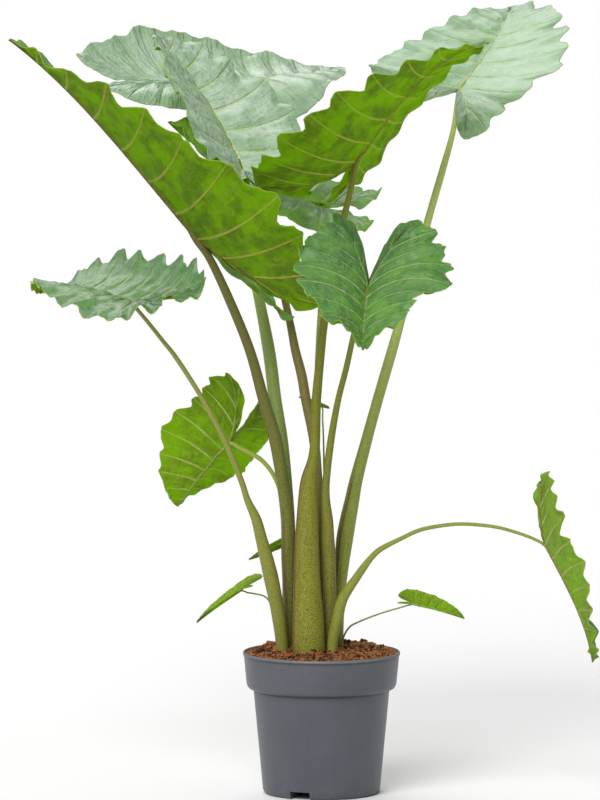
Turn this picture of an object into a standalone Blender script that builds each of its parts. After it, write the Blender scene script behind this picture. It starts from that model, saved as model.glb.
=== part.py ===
# A potted alocasia: a nursery pot, its soil, the corm in it, and fourteen leaves on their stalks.
# Metres, +Z up, the plant's front towards -Y. The origin is the middle of the pot's base.
from math import cos, radians, sin, tau

import bmesh
import bpy
import numpy as np
from mathutils import Matrix, Vector

# Pot
POT_HEIGHT = 0.244
RIM_RADIUS = 0.135
COLLAR_BOTTOM = 0.189  # height where the collar's straight side ends
COLLAR_BOTTOM_RADIUS = 0.129
BODY_TOP = 0.179
BODY_TOP_RADIUS = 0.117
BASE_RADIUS = 0.101
BASE_ROUND = 0.006
WALL = 0.0024
POT_STEPS = 64
# Drainage: raised channels under the base, each open at the wall, with a hole in its roof
CHANNEL_COUNT = 3
FIRST_CHANNEL_ANGLE = -112
CHANNEL_HEIGHT = 0.013
CHANNEL_WIDTH = 0.036
CHANNEL_START = 0.045
DRAIN_RADIUS = 0.006
DRAIN_FROM_AXIS = 0.070

# Soil and corm
SOIL_EDGE = 0.2425
SOIL_MIDDLE = 0.253
CORM_CENTRE = (-0.018, -0.005)
CORM_TOP = 0.215
CORM_TOP_RADIUS = 0.072
CORM_RADIUS = 0.078
CORM_DEPTH = 0.085
GAP = 0.0003  # clearance between pieces that touch
SOIL_GAP = 0.0005  # clearance of the soil round the stalks

# Leaves
BLADE_THICKNESS = 0.0016
MIDRIB_STEPS = 40
LOBE_STEPS = 13
STALK_SIDES_RESOLUTION = 2
# One half of a flat blade, as shares of its length. Each row runs from a point on the midrib, or on the
# lobe's rib, to the end of a side vein on the margin, from the tip round to the notch at the stalk.
VEIN_STARTS = np.array(
    [(0, 1), (0, 0.86), (0, 0.72), (0, 0.57), (0, 0.42), (0, 0.27), (0, 0.12), (0, 0),
     (0.05, -0.12), (0.105, -0.25), (0.165, -0.39), (0.105, -0.25), (0.05, -0.12), (0, 0)])
VEIN_ENDS = np.array(
    [(0, 1), (0.075, 0.93), (0.155, 0.82), (0.225, 0.68), (0.285, 0.51), (0.325, 0.32), (0.345, 0.12),
     (0.35, -0.10), (0.34, -0.27), (0.295, -0.41), (0.215, -0.50), (0.125, -0.43), (0.06, -0.27),
     (0, -0.07)])
HALF_WIDTH = 0.35  # of a blade of width 1, as a share of its length
LOBE_LENGTH = 0.5
VEIN_BOW = 0.10

# Each leaf: the blade's joint with its stalk, the angles in degrees that turn and bend the blade, its
# length and shape factors, and its stalk's route as x, y, z and radius, from the soil up. A pair is for
# the left half and the right half, seen from the stalk towards the tip with the upper side up.
# reach stretches the side veins from the tip round to the notch.
LEAVES = {
    "left_large": dict(
        joint=(-0.209, -0.042, 0.959), heading=170, pitch=48, roll=42, bend=25, sweep=-19,
        fold=(-19, 36), cup=(31, 0), lobe_bend=-11, length=0.477, width=1.54, lobe=0.95, taper=0.30,
        reach=((0.95, 0.95, 0.95, 1.05, 0.95, 1.0, 1.15, 1.05, 0.95, 1.05, 0.9, 0.9),
               (1.0, 1.0, 0.95, 0.9, 0.85, 0.75, 0.7, 0.7, 0.7, 0.8, 0.85, 1.0)),
        stalk=((-0.054, 0.008, 0.261, 0.0120), (-0.054, 0.004, 0.335, 0.0125),
               (-0.057, 0.000, 0.404, 0.0125), (-0.058, 0.002, 0.472, 0.0125),
               (-0.067, 0.003, 0.540, 0.0114), (-0.079, 0.000, 0.609, 0.0115),
               (-0.099, -0.010, 0.679, 0.0102), (-0.123, -0.025, 0.766, 0.0088),
               (-0.157, -0.036, 0.852, 0.0081), (-0.190, -0.045, 0.923, 0.0070))),
    "back_wide": dict(
        joint=(-0.240, 0.375, 1.200), heading=25, pitch=2, roll=-8, bend=-8, sweep=-30,
        fold=(17, 2), cup=(60, -60), lobe_bend=-13, length=0.368, width=1.05, lobe=1.0, taper=-0.05,
        reach=((1.0, 0.95, 0.95, 0.9, 0.95, 1.05, 1.15, 1.0, 1.0, 1.0, 1.0, 1.0),
               (1.0, 0.95, 0.9, 1.15, 1.25, 1.05, 0.95, 0.9, 0.95, 1.0, 1.0, 1.0)),
        stalk=((-0.055, 0.042, 0.256, 0.0115), (-0.055, 0.049, 0.396, 0.0115),
               (-0.057, 0.060, 0.465, 0.0115), (-0.062, 0.073, 0.533, 0.0115),
               (-0.069, 0.092, 0.600, 0.0115), (-0.080, 0.118, 0.667, 0.0115),
               (-0.091, 0.148, 0.750, 0.0112), (-0.111, 0.188, 0.850, 0.0092),
               (-0.135, 0.245, 0.947, 0.0085), (-0.165, 0.295, 1.045, 0.0080),
               (-0.201, 0.340, 1.130, 0.0075))),
    "centre_upright": dict(
        joint=(-0.137, 0.100, 1.070), heading=110, pitch=37, roll=28, bend=10, sweep=-22,
        fold=(9, 33), cup=(-3, 0), lobe_bend=-33, length=0.359, width=0.94, lobe=0.75, taper=-0.13,
        reach=((0.95, 0.95, 1.0, 1.1, 1.1, 1.05, 0.95, 0.95, 0.95, 1.0, 1.0, 1.0),
               (1.0, 1.0, 0.85, 0.95, 1.1, 1.0, 1.05, 1.0, 1.0, 0.95, 0.95, 0.95)),
        stalk=((0.001, 0.012, 0.260, 0.0080), (0.000, 0.020, 0.370, 0.0085),
               (-0.003, 0.030, 0.469, 0.0090), (-0.007, 0.040, 0.537, 0.0090),
               (-0.013, 0.052, 0.605, 0.0090), (-0.027, 0.070, 0.673, 0.0090),
               (-0.034, 0.083, 0.712, 0.0088), (-0.045, 0.100, 0.755, 0.0080),
               (-0.053, 0.116, 0.795, 0.0070), (-0.065, 0.120, 0.850, 0.0065),
               (-0.079, 0.115, 0.920, 0.0060), (-0.098, 0.108, 0.983, 0.0057),
               (-0.119, 0.103, 1.034, 0.0055))),
    "right_arching": dict(
        joint=(0.057, -0.020, 1.089), heading=-5, pitch=54, roll=-23, bend=50, sweep=19,
        fold=(-8, -2), cup=(59, 21), lobe_bend=-46, length=0.337, width=1.68, lobe=0.89, taper=0.29,
        reach=((0.9, 0.75, 0.65, 0.6, 0.55, 0.5, 0.5, 0.5, 0.55, 0.6, 0.7, 0.8),
               (0.95, 0.9, 0.9, 1.0, 1.05, 1.0, 1.1, 1.1, 1.1, 0.95, 0.95, 0.9)),
        stalk=((-0.022, -0.038, 0.262, 0.0290), (-0.023, -0.036, 0.304, 0.0275),
               (-0.025, -0.034, 0.373, 0.0238), (-0.025, -0.033, 0.441, 0.0212),
               (-0.023, -0.032, 0.510, 0.0178), (-0.021, -0.031, 0.544, 0.0150),
               (-0.014, -0.030, 0.578, 0.0105), (-0.011, -0.030, 0.612, 0.0089),
               (-0.009, -0.028, 0.680, 0.0085), (-0.001, -0.026, 0.766, 0.0074),
               (0.005, -0.025, 0.818, 0.0071), (0.021, -0.022, 0.920, 0.0064),
               (0.039, -0.020, 0.997, 0.0058), (0.052, -0.021, 1.050, 0.0050))),
    "front_heart": dict(
        joint=(0.077, -0.240, 0.891), heading=-98, pitch=-37, roll=-7, bend=-40, sweep=-6,
        fold=(50, 50), cup=(-55, -55), lobe_bend=-50, length=0.222, width=1.70, lobe=1.18, taper=0.05,
        reach=((1.0, 1.0, 1.05, 0.95, 0.95, 1.2, 1.15, 1.05, 1.1, 1.05, 1.05, 1.1),
               (1.0, 1.0, 1.05, 1.0, 1.05, 1.05, 1.05, 0.95, 0.85, 0.95, 1.0, 1.0)),
        stalk=((0.013, -0.012, 0.263, 0.0100), (0.014, -0.015, 0.337, 0.0115),
               (0.013, -0.020, 0.406, 0.0120), (0.011, -0.024, 0.441, 0.0115),
               (0.010, -0.028, 0.475, 0.0100), (0.007, -0.032, 0.510, 0.0078),
               (0.008, -0.036, 0.545, 0.0067), (0.016, -0.045, 0.614, 0.0064),
               (0.028, -0.057, 0.683, 0.0055), (0.041, -0.070, 0.736, 0.0053),
               (0.052, -0.098, 0.789, 0.0050), (0.060, -0.137, 0.830, 0.0050),
               (0.070, -0.192, 0.869, 0.0048))),
    "right_high": dict(
        joint=(0.238, 0.150, 1.205), heading=55, pitch=30, roll=43, bend=27, sweep=-14,
        fold=(-21, 48), cup=(-15, 0), lobe_bend=38, length=0.290, width=1.67, lobe=0.60, taper=0.03,
        reach=((0.95, 0.9, 0.9, 0.9, 0.95, 1.0, 1.05, 0.95, 1.0, 1.0, 1.0, 1.0),
               (1.05, 1.1, 1.05, 1.05, 1.1, 1.1, 0.95, 0.85, 0.95, 1.0, 1.0, 1.0)),
        stalk=((0.028, 0.018, 0.263, 0.0100), (0.029, 0.026, 0.332, 0.0115),
               (0.032, 0.029, 0.366, 0.0125), (0.036, 0.033, 0.400, 0.0133),
               (0.040, 0.037, 0.434, 0.0150), (0.046, 0.041, 0.468, 0.0145),
               (0.053, 0.045, 0.502, 0.0130), (0.060, 0.049, 0.536, 0.0117),
               (0.078, 0.057, 0.604, 0.0100), (0.097, 0.067, 0.672, 0.0095),
               (0.122, 0.080, 0.757, 0.0092), (0.138, 0.090, 0.813, 0.0080),
               (0.165, 0.105, 0.910, 0.0072), (0.189, 0.118, 0.996, 0.0066),
               (0.209, 0.130, 1.064, 0.0062), (0.228, 0.142, 1.133, 0.0049))),
    "back_low": dict(
        joint=(-0.006, 0.250, 0.993), heading=173, pitch=21, roll=8, bend=-23, sweep=-14,
        fold=(4, 50), cup=(-50, -50), lobe_bend=-20, length=0.303, width=1.32, lobe=0.70, taper=-0.16,
        reach=(None, None),
        stalk=((0.013, 0.036, 0.257, 0.0065), (0.008, 0.045, 0.362, 0.0065),
               (-0.003, 0.062, 0.464, 0.0060), (-0.009, 0.095, 0.565, 0.0060),
               (-0.008, 0.130, 0.666, 0.0060), (-0.004, 0.165, 0.766, 0.0055),
               (0.000, 0.200, 0.850, 0.0050), (-0.003, 0.233, 0.932, 0.0045))),
    "left_small": dict(
        joint=(-0.326, -0.100, 0.858), heading=138, pitch=10, roll=12, bend=26, sweep=16,
        fold=(0, 20), cup=(-42, 50), lobe_bend=-23, length=0.241, width=1.33, lobe=1.03, taper=-0.07,
        reach=(None, (1.0, 1.0, 1.0, 1.05, 1.0, 1.0, 1.05, 1.05, 1.0, 1.0, 1.0, 1.0)),
        stalk=((-0.068, -0.022, 0.262, 0.0113), (-0.073, -0.028, 0.304, 0.0122),
               (-0.079, -0.034, 0.339, 0.0125), (-0.086, -0.040, 0.374, 0.0132),
               (-0.094, -0.045, 0.409, 0.0122), (-0.103, -0.050, 0.444, 0.0105),
               (-0.112, -0.056, 0.479, 0.0090), (-0.127, -0.061, 0.513, 0.0060),
               (-0.138, -0.066, 0.548, 0.0053), (-0.166, -0.074, 0.617, 0.0053),
               (-0.202, -0.083, 0.686, 0.0043), (-0.245, -0.090, 0.755, 0.0042),
               (-0.271, -0.094, 0.789, 0.0037), (-0.301, -0.098, 0.827, 0.0035))),
    "left_backlit": dict(
        joint=(-0.159, 0.060, 0.600), heading=173, pitch=-45, roll=40, bend=-16, sweep=30,
        fold=(6, 36), cup=(49, -55), lobe_bend=-50, length=0.160, width=1.80, lobe=1.40, taper=-0.06,
        reach=((0.75, 0.75, 0.8, 0.85, 1.1, 1.1, 1.0, 1.0, 1.1, 1.05, 1.05, 1.05),
               (1.0, 1.05, 1.05, 1.1, 1.1, 1.0, 1.0, 1.0, 1.0, 1.0, 1.0, 1.0)),
        stalk=((-0.064, 0.024, 0.259, 0.0038), (-0.064, 0.032, 0.330, 0.0038),
               (-0.064, 0.036, 0.430, 0.0038), (-0.068, 0.035, 0.500, 0.0038),
               (-0.080, 0.036, 0.540, 0.0038), (-0.101, 0.042, 0.568, 0.0040),
               (-0.123, 0.046, 0.582, 0.0042), (-0.140, 0.050, 0.590, 0.0036))),
    "right_drooping": dict(
        joint=(0.381, -0.120, 0.442), heading=-27, pitch=-59, roll=-29, bend=19, sweep=24,
        fold=(22, 26), cup=(-22, 0), lobe_bend=-35, length=0.229, width=1.10, lobe=1.09, taper=0.30,
        reach=(None, None),
        stalk=((0.019, -0.037, 0.266, 0.0095), (0.027, -0.042, 0.305, 0.0100),
               (0.036, -0.048, 0.341, 0.0095), (0.058, -0.058, 0.376, 0.0075),
               (0.070, -0.062, 0.394, 0.0067), (0.084, -0.066, 0.413, 0.0054),
               (0.101, -0.069, 0.429, 0.0048), (0.133, -0.080, 0.447, 0.0038),
               (0.166, -0.086, 0.463, 0.0036), (0.200, -0.091, 0.471, 0.0034),
               (0.234, -0.096, 0.475, 0.0032), (0.268, -0.101, 0.474, 0.0031),
               (0.301, -0.106, 0.470, 0.0030), (0.335, -0.111, 0.461, 0.0028),
               (0.362, -0.116, 0.451, 0.0027))),
    "right_seedling": dict(
        joint=(0.159, -0.030, 0.330), heading=-5, pitch=-14, roll=0, bend=4, sweep=3,
        fold=(35, 19), cup=(0, -29), lobe_bend=27, length=0.090, width=1.12, lobe=0.60, taper=0.03,
        reach=(None, None), small=True,
        stalk=((0.036, -0.008, 0.263, 0.0017), (0.047, -0.010, 0.286, 0.0017),
               (0.065, -0.013, 0.297, 0.0016), (0.099, -0.018, 0.311, 0.0015),
               (0.133, -0.024, 0.322, 0.0014))),
    "left_seedling": dict(
        joint=(-0.139, 0.030, 0.346), heading=154, pitch=-34, roll=0, bend=5, sweep=-5,
        fold=(8, 35), cup=(-24, -10), lobe_bend=30, length=0.103, width=1.03, lobe=0.70, taper=0.0,
        reach=(None, None), small=True,
        stalk=((-0.077, 0.014, 0.260, 0.0017), (-0.083, 0.020, 0.310, 0.0017),
               (-0.095, 0.024, 0.334, 0.0016), (-0.114, 0.027, 0.340, 0.0015),
               (-0.128, 0.029, 0.342, 0.0014))),
    "inner_seedling": dict(
        joint=(-0.057, 0.022, 0.433), heading=176, pitch=-26, roll=65, bend=0, sweep=0,
        fold=(20, 20), cup=(0, 0), lobe_bend=0, length=0.076, width=0.36, lobe=0.25, taper=0.0,
        reach=(None, None), small=True,
        stalk=((-0.046, 0.027, 0.258, 0.0017), (-0.048, 0.025, 0.330, 0.0017),
               (-0.051, 0.023, 0.400, 0.0015))),
    "new_shoot": dict(
        joint=(0.001, 0.095, 0.658), heading=180, pitch=23, roll=0, bend=0, sweep=0,
        fold=(30, 30), cup=(0, 0), lobe_bend=0, length=0.044, width=0.60, lobe=0.60, taper=0.0,
        reach=(None, None), small=True,
        stalk=((0.008, 0.054, 0.255, 0.0019), (0.006, 0.073, 0.430, 0.0019),
               (0.004, 0.090, 0.584, 0.0017), (0.002, 0.095, 0.635, 0.0015))),
}
SIDES = (-1, 1)
BIG = dict(rows=2, columns=3, notch=0.09, wave=0.012, lead=0.010)
SMALL = dict(rows=1, columns=2, notch=0.0, wave=0.0, lead=0.005)

# Colours in linear RGB, with roughness
PLASTIC = ((0.105, 0.115, 0.140, 1), 0.45)
SOIL = ((0.28, 0.10, 0.035, 1), 0.95)
CORM = ((0.20, 0.12, 0.06, 1), 0.85)
BLADE_UPPER = ((0.10, 0.27, 0.10, 1), 0.35)
BLADE_BACKLIT = ((0.14, 0.30, 0.01, 1), 0.40)
STALK_DARK = ((0.17, 0.15, 0.055, 1), 0.50)
STALK_OLIVE = ((0.22, 0.23, 0.06, 1), 0.50)
STALK_PALE = ((0.36, 0.42, 0.14, 1), 0.50)
BACKLIT_LEAVES = ("left_large", "right_arching", "left_backlit", "right_drooping", "right_seedling",
                  "left_seedling", "inner_seedling", "new_shoot")
DARK_STALKS = ("left_large", "centre_upright")
PALE_STALKS = ("back_wide", "right_high", "left_backlit", "right_drooping", "right_seedling",
               "left_seedling", "inner_seedling", "new_shoot")


def clear_scene():
    for obj in list(bpy.data.objects):
        bpy.data.objects.remove(obj, do_unlink=True)


def new_collection(name):
    collection = bpy.data.collections.new(name)
    bpy.context.scene.collection.children.link(collection)
    return collection


def material(name, look):
    colour, roughness = look
    made = bpy.data.materials.new(name)
    made.use_nodes = True
    shader = made.node_tree.nodes["Principled BSDF"]
    shader.inputs["Base Color"].default_value = colour
    shader.inputs["Roughness"].default_value = roughness
    return made


def add_object(collection, name, data, look=None, smooth=True):
    obj = bpy.data.objects.new(name, data)
    collection.objects.link(obj)
    if look:
        data.materials.append(material(name + "_material", look))
    if smooth:
        for polygon in getattr(data, "polygons", []):
            polygon.use_smooth = True
    return obj


def hide_cutter(obj):
    obj.hide_render = True
    obj.display_type = "WIRE"


def turned(collection, name, profile, look=None):
    """A profile of (radius, height) points, turned round the Z axis."""
    mesh = bpy.data.meshes.new(name)
    points = [(radius, 0, height) for radius, height in profile]
    edges = [(i, i + 1) for i in range(len(points) - 1)]
    mesh.from_pydata(points, edges, [])
    obj = add_object(collection, name, mesh, look)
    screw = obj.modifiers.new("Turn", "SCREW")
    screw.angle = tau
    screw.steps = screw.render_steps = POT_STEPS
    screw.use_merge_vertices = True
    screw.merge_threshold = 0.00005
    screw.use_smooth_shade = True
    screw.use_normal_calculate = True
    return obj


def boolean(obj, other, operation="DIFFERENCE"):
    modifier = obj.modifiers.new(operation.title(), "BOOLEAN")
    modifier.operation = operation
    modifier.solver = "EXACT"
    modifier.object = other


def box(collection, name, size, location, angle=0):
    mesh = bpy.data.meshes.new(name)
    shape = bmesh.new()
    bmesh.ops.create_cube(shape, size=1, matrix=Matrix.Diagonal((*size, 1)))
    shape.to_mesh(mesh)
    shape.free()
    obj = add_object(collection, name, mesh, smooth=False)
    obj.location = Matrix.Rotation(angle, 3, "Z") @ Vector(location)
    obj.rotation_euler.z = angle
    hide_cutter(obj)
    return obj


def drain(collection, name, location, angle):
    mesh = bpy.data.meshes.new(name)
    shape = bmesh.new()
    bmesh.ops.create_cone(shape, cap_ends=True, segments=20, radius1=DRAIN_RADIUS,
                          radius2=DRAIN_RADIUS, depth=0.02)
    shape.to_mesh(mesh)
    shape.free()
    obj = add_object(collection, name, mesh, smooth=False)
    obj.location = Matrix.Rotation(angle, 3, "Z") @ Vector(location)
    hide_cutter(obj)
    return obj


def pot_profile():
    """The pot's section: up the outside from the middle of the base, over the lip and down the inside."""
    lip = 0.0007
    outside = [(0, 0), (BASE_RADIUS - BASE_ROUND, 0), (BASE_RADIUS - 0.0018, 0.0018),
               (BASE_RADIUS, BASE_ROUND), (BODY_TOP_RADIUS, BODY_TOP),
               (BODY_TOP_RADIUS + 0.004, BODY_TOP + 0.0008),
               (COLLAR_BOTTOM_RADIUS - 0.003, COLLAR_BOTTOM - 0.006),
               (COLLAR_BOTTOM_RADIUS, COLLAR_BOTTOM), (RIM_RADIUS - lip, POT_HEIGHT - 0.006),
               (RIM_RADIUS, POT_HEIGHT - 0.004), (RIM_RADIUS, POT_HEIGHT - lip),
               (RIM_RADIUS - lip, POT_HEIGHT)]
    inside = [(RIM_RADIUS - WALL, POT_HEIGHT), (RIM_RADIUS - WALL - lip, POT_HEIGHT - 0.001),
              (COLLAR_BOTTOM_RADIUS - WALL, COLLAR_BOTTOM),
              (COLLAR_BOTTOM_RADIUS - WALL - 0.004, COLLAR_BOTTOM - 0.006),
              (BODY_TOP_RADIUS - WALL, BODY_TOP + 0.002), (BASE_RADIUS - WALL, BASE_ROUND),
              (BASE_RADIUS - BASE_ROUND, WALL), (0, WALL)]
    return outside, inside


def make_pot(parts, cutters):
    outside, inside = pot_profile()
    pot = turned(parts, "pot", outside + inside, PLASTIC)
    soil_clearances = []
    channel_length = BASE_RADIUS - CHANNEL_START
    middle = CHANNEL_START + channel_length / 2
    for i in range(CHANNEL_COUNT):
        angle = radians(FIRST_CHANNEL_ANGLE + 360 * i / CHANNEL_COUNT)
        roof_size = (channel_length - WALL, CHANNEL_WIDTH + 2 * WALL, CHANNEL_HEIGHT + WALL)
        roof_at = (middle - WALL, 0, roof_size[2] / 2 + 0.0005)
        roof = box(cutters, f"channel_roof_{i}", roof_size, roof_at, angle)
        boolean(pot, roof, "UNION")
        cut_size = (channel_length + 0.02, CHANNEL_WIDTH, 2 * CHANNEL_HEIGHT)
        boolean(pot, box(cutters, f"channel_{i}", cut_size, (middle + 0.01, 0, 0), angle))
        boolean(pot, drain(cutters, f"drain_{i}", (DRAIN_FROM_AXIS, 0, CHANNEL_HEIGHT), angle))
        clear_size = tuple(size + 2 * GAP for size in roof_size)
        soil_clearances.append(box(cutters, f"soil_clearance_{i}", clear_size, roof_at, angle))
    return soil_clearances


def corm_profile(grow=0):
    top, bottom = CORM_TOP + grow, CORM_TOP - CORM_DEPTH - grow
    side = CORM_RADIUS + grow
    return [(0, bottom), (0.030, bottom), (side - 0.008, CORM_TOP - 0.055), (side, CORM_TOP - 0.030),
            (side, CORM_TOP - 0.012), (CORM_TOP_RADIUS + grow, top), (0, top)]


def make_corm(parts, cutters):
    corm = turned(parts, "rhizome", corm_profile(), CORM)
    corm.location = (*CORM_CENTRE, 0)
    clearance = turned(cutters, "corm_clearance", corm_profile(GAP))
    clearance.location = corm.location
    hide_cutter(clearance)
    return clearance


def make_soil(parts, cutters):
    """The soil inside the pot's wall, heaped a little in the middle."""
    wall_inside = [(BASE_RADIUS - BASE_ROUND - GAP, WALL + GAP), (BASE_RADIUS - WALL - GAP, BASE_ROUND),
                   (BODY_TOP_RADIUS - WALL - GAP, BODY_TOP + 0.002),
                   (COLLAR_BOTTOM_RADIUS - WALL - 0.004 - GAP, COLLAR_BOTTOM - 0.006),
                   (COLLAR_BOTTOM_RADIUS - WALL - GAP, COLLAR_BOTTOM)]
    edge = COLLAR_BOTTOM_RADIUS - WALL - GAP + (RIM_RADIUS - COLLAR_BOTTOM_RADIUS) * (
        SOIL_EDGE - COLLAR_BOTTOM) / (POT_HEIGHT - COLLAR_BOTTOM) - 0.001
    heap = [(edge, SOIL_EDGE), (edge * 0.75, SOIL_EDGE + 0.6 * (SOIL_MIDDLE - SOIL_EDGE)),
            (edge * 0.4, SOIL_MIDDLE), (0, SOIL_MIDDLE)]
    return turned(parts, "potting_soil", [(0, WALL + GAP)] + wall_inside + heap, SOIL)


def stalk_route(leaf, size):
    """The stalk's centre line with radii, from the corm to just under the blade's joint."""
    base_x, base_y, _, base_radius = leaf["stalk"][0]
    foot = [(base_x, base_y, CORM_TOP + GAP, base_radius), (base_x, base_y, CORM_TOP + 0.012, base_radius)]
    _, right, normal = blade_axes(leaf)
    lean = radians(leaf["fold"][1] - leaf["fold"][0]) / 2  # to stand square under unevenly folded halves
    normal = normal * cos(lean) - right * sin(lean)
    droop = max(0, -sum(leaf["fold"]) / 2)
    joint = np.array(leaf["joint"])
    radius = leaf["stalk"][-1][3]
    under = BLADE_THICKNESS / 2 + GAP + radius * sin(radians(droop))
    lead = (*(joint - normal * (under + size["lead"])), radius * 0.95)
    end = (*(joint - normal * under), radius * 0.6)
    return np.array([*foot, *leaf["stalk"], lead, end])


def make_stalk(collection, name, route, look=None, grow=0):
    """A tapering tube along the route, as a mesh."""
    curve = bpy.data.curves.new(name, "CURVE")
    curve.dimensions = "3D"
    curve.bevel_depth = route[0][3] + grow
    curve.bevel_resolution = STALK_SIDES_RESOLUTION
    curve.use_fill_caps = True
    spline = curve.splines.new("POLY")
    spline.points.add(len(route) - 1)
    for point, (x, y, z, radius) in zip(spline.points, route):
        point.co = (x, y, z, 1)
        point.radius = (radius + grow) / curve.bevel_depth
    tube = bpy.data.objects.new(name + "_curve", curve)
    bpy.context.scene.collection.objects.link(tube)
    bpy.context.view_layer.update()
    evaluated = tube.evaluated_get(bpy.context.evaluated_depsgraph_get())
    mesh = bpy.data.meshes.new_from_object(evaluated)
    bpy.data.objects.remove(tube)
    shape = bmesh.new()
    shape.from_mesh(mesh)
    bmesh.ops.remove_doubles(shape, verts=shape.verts, dist=0.00001)
    shape.to_mesh(mesh)
    shape.free()
    return add_object(collection, name, mesh, look)


def turn(vectors, angle, axis):
    """The vectors turned by the angle about the unit axis."""
    along = axis * (vectors @ axis)[..., None]
    return vectors * cos(angle) + np.cross(axis, vectors) * sin(angle) + along * (1 - cos(angle))


def blade_axes(leaf):
    """Unit vectors at the joint: towards the tip, towards the right half, and out of the upper side."""
    heading, pitch, roll = (radians(leaf[key]) for key in ("heading", "pitch", "roll"))
    forward = np.array([cos(pitch) * cos(heading), cos(pitch) * sin(heading), sin(pitch)])
    level = np.array([0, 0, 1]) - forward * sin(pitch)
    level = level / np.linalg.norm(level)
    normal = level * cos(roll) + np.cross(forward, level) * sin(roll)
    return forward, np.cross(forward, normal), normal


def midrib_frames(leaf):
    """Stations along the midrib, from behind the joint to the tip: distance, place and the three axes."""
    length = leaf["length"]
    behind = 1.1 * LOBE_LENGTH * leaf["lobe"] * length
    start = np.array(blade_axes(leaf))
    stations = [(0, np.array(leaf["joint"]), start)]
    place, axes = stations[0][1], start
    for i in range(MIDRIB_STEPS):
        share = (i + 0.5) / MIDRIB_STEPS
        axes = turn(axes, -radians(leaf["bend"]) * 2 * share / MIDRIB_STEPS, axes[1])
        axes = turn(axes, -radians(leaf["sweep"]) / MIDRIB_STEPS, axes[2])
        place = place + axes[0] * length / MIDRIB_STEPS
        stations.append(((i + 1) * length / MIDRIB_STEPS, place, axes))
    place, axes = stations[0][1], start
    for i in range(LOBE_STEPS):
        axes = turn(axes, radians(leaf["lobe_bend"]) / LOBE_STEPS, axes[1])
        place = place - axes[0] * behind / LOBE_STEPS
        stations.insert(0, (-(i + 1) * behind / LOBE_STEPS, place, axes))
    distances, places, frames = zip(*stations)
    return np.array(distances), np.array(places), np.array(frames)


def flat_half(leaf, size, side):
    """The rows of a flat half blade: each row's number, and its points from the rib to the margin."""
    starts, ends = VEIN_STARTS.astype(float), VEIN_ENDS.astype(float)
    reach = leaf["reach"][SIDES.index(side)] or (1,) * (len(ends) - 2)
    ends = starts + (ends - starts) * np.array([1, *reach, 1])[:, None]
    for points in (starts, ends):
        points[:, 0] *= leaf["width"] * (1 - leaf["taper"] * np.clip(points[:, 1], 0, 1))
        points[:, 1] *= np.where(points[:, 1] < 0, leaf["lobe"], 1)
    last = len(ends) - 1
    rows = np.linspace(0, last, last * size["rows"] + 1)
    rib = np.stack([np.interp(rows, np.arange(last + 1), starts[:, k]) for k in (0, 1)], 1)
    before = np.minimum(rows.astype(int), last - 1)
    t = (rows - before)[:, None]
    a, b = ends[np.maximum(before - 1, 0)], ends[before]
    c, d = ends[before + 1], ends[np.minimum(before + 2, last)]
    margin = 0.5 * (2 * b + (c - a) * t + (2 * a - 5 * b + 4 * c - d) * t ** 2
                    + (3 * b - a - 3 * c + d) * t ** 3)
    between = 1 - np.abs(2 * (rows - before) - 1) ** 1.7
    notch = size["notch"] * between * np.clip(np.minimum(rows, (last - rows) / 2), 0, 1)
    margin = rib + (margin - rib) * (1 - notch)[:, None]
    bow = VEIN_BOW * np.linalg.norm(margin - rib, axis=1) * (rib[:, 1] >= 0) * np.clip(rows, 0, 1)
    middle = (rib + margin) / 2 - np.stack([0 * bow, bow], 1)
    across = np.linspace(0, 1, size["columns"] + 1)[None, :, None]
    points = ((1 - across) ** 2 * rib[:, None] + 2 * across * (1 - across) * middle[:, None]
              + across ** 2 * margin[:, None])
    return rows, across[0, :, 0], points * leaf["length"]


def bent_half(leaf, size, side):
    """The half blade's points in space: laid along the midrib, folded, cupped and waved."""
    rows, across, flat = flat_half(leaf, size, side)
    distances, places, frames = midrib_frames(leaf)
    out, along = flat[..., 0], flat[..., 1]
    place = np.stack([np.interp(along, distances, places[:, k]) for k in range(3)], -1)
    sideways = np.stack([np.interp(along, distances, frames[:, 1, k]) for k in range(3)], -1)
    normal = np.stack([np.interp(along, distances, frames[:, 2, k]) for k in range(3)], -1)
    half = SIDES.index(side)
    fold = radians(leaf["fold"][half])
    curl = (radians(leaf["cup"][half]) or 0.0001) / (HALF_WIDTH * leaf["width"] * leaf["length"])
    spread = (np.sin(fold + curl * out) - sin(fold)) / curl
    rise = (cos(fold) - np.cos(fold + curl * out)) / curl
    fade = np.clip(np.minimum(rows, len(VEIN_ENDS) - 1 - rows), 0, 1)
    rise += size["wave"] * leaf["length"] * across ** 2 * (np.cos(tau * rows) * fade)[:, None]
    return place + side * sideways * spread[..., None] + normal * rise[..., None]


def make_blade(collection, name, leaf, size, look):
    """Both halves as one open sheet, given its thickness by Solidify."""
    shape = bmesh.new()
    for side in SIDES:
        grid = bent_half(leaf, size, side)
        corners = [[shape.verts.new(point) for point in row] for row in grid]
        for near, far in zip(corners, corners[1:]):
            for i in range(len(near) - 1):
                face = (near[i], far[i], far[i + 1], near[i + 1])
                shape.faces.new(face if side > 0 else face[::-1])
    bmesh.ops.remove_doubles(shape, verts=shape.verts, dist=0.00002)
    bmesh.ops.triangulate(shape, faces=shape.faces)
    mesh = bpy.data.meshes.new(name)
    shape.to_mesh(mesh)
    shape.free()
    obj = add_object(collection, name, mesh, look)
    solidify = obj.modifiers.new("Thickness", "SOLIDIFY")
    solidify.thickness = BLADE_THICKNESS
    solidify.offset = 0
    return obj


def stalk_look(name):
    if name in DARK_STALKS:
        return STALK_DARK
    return STALK_PALE if name in PALE_STALKS else STALK_OLIVE


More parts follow.
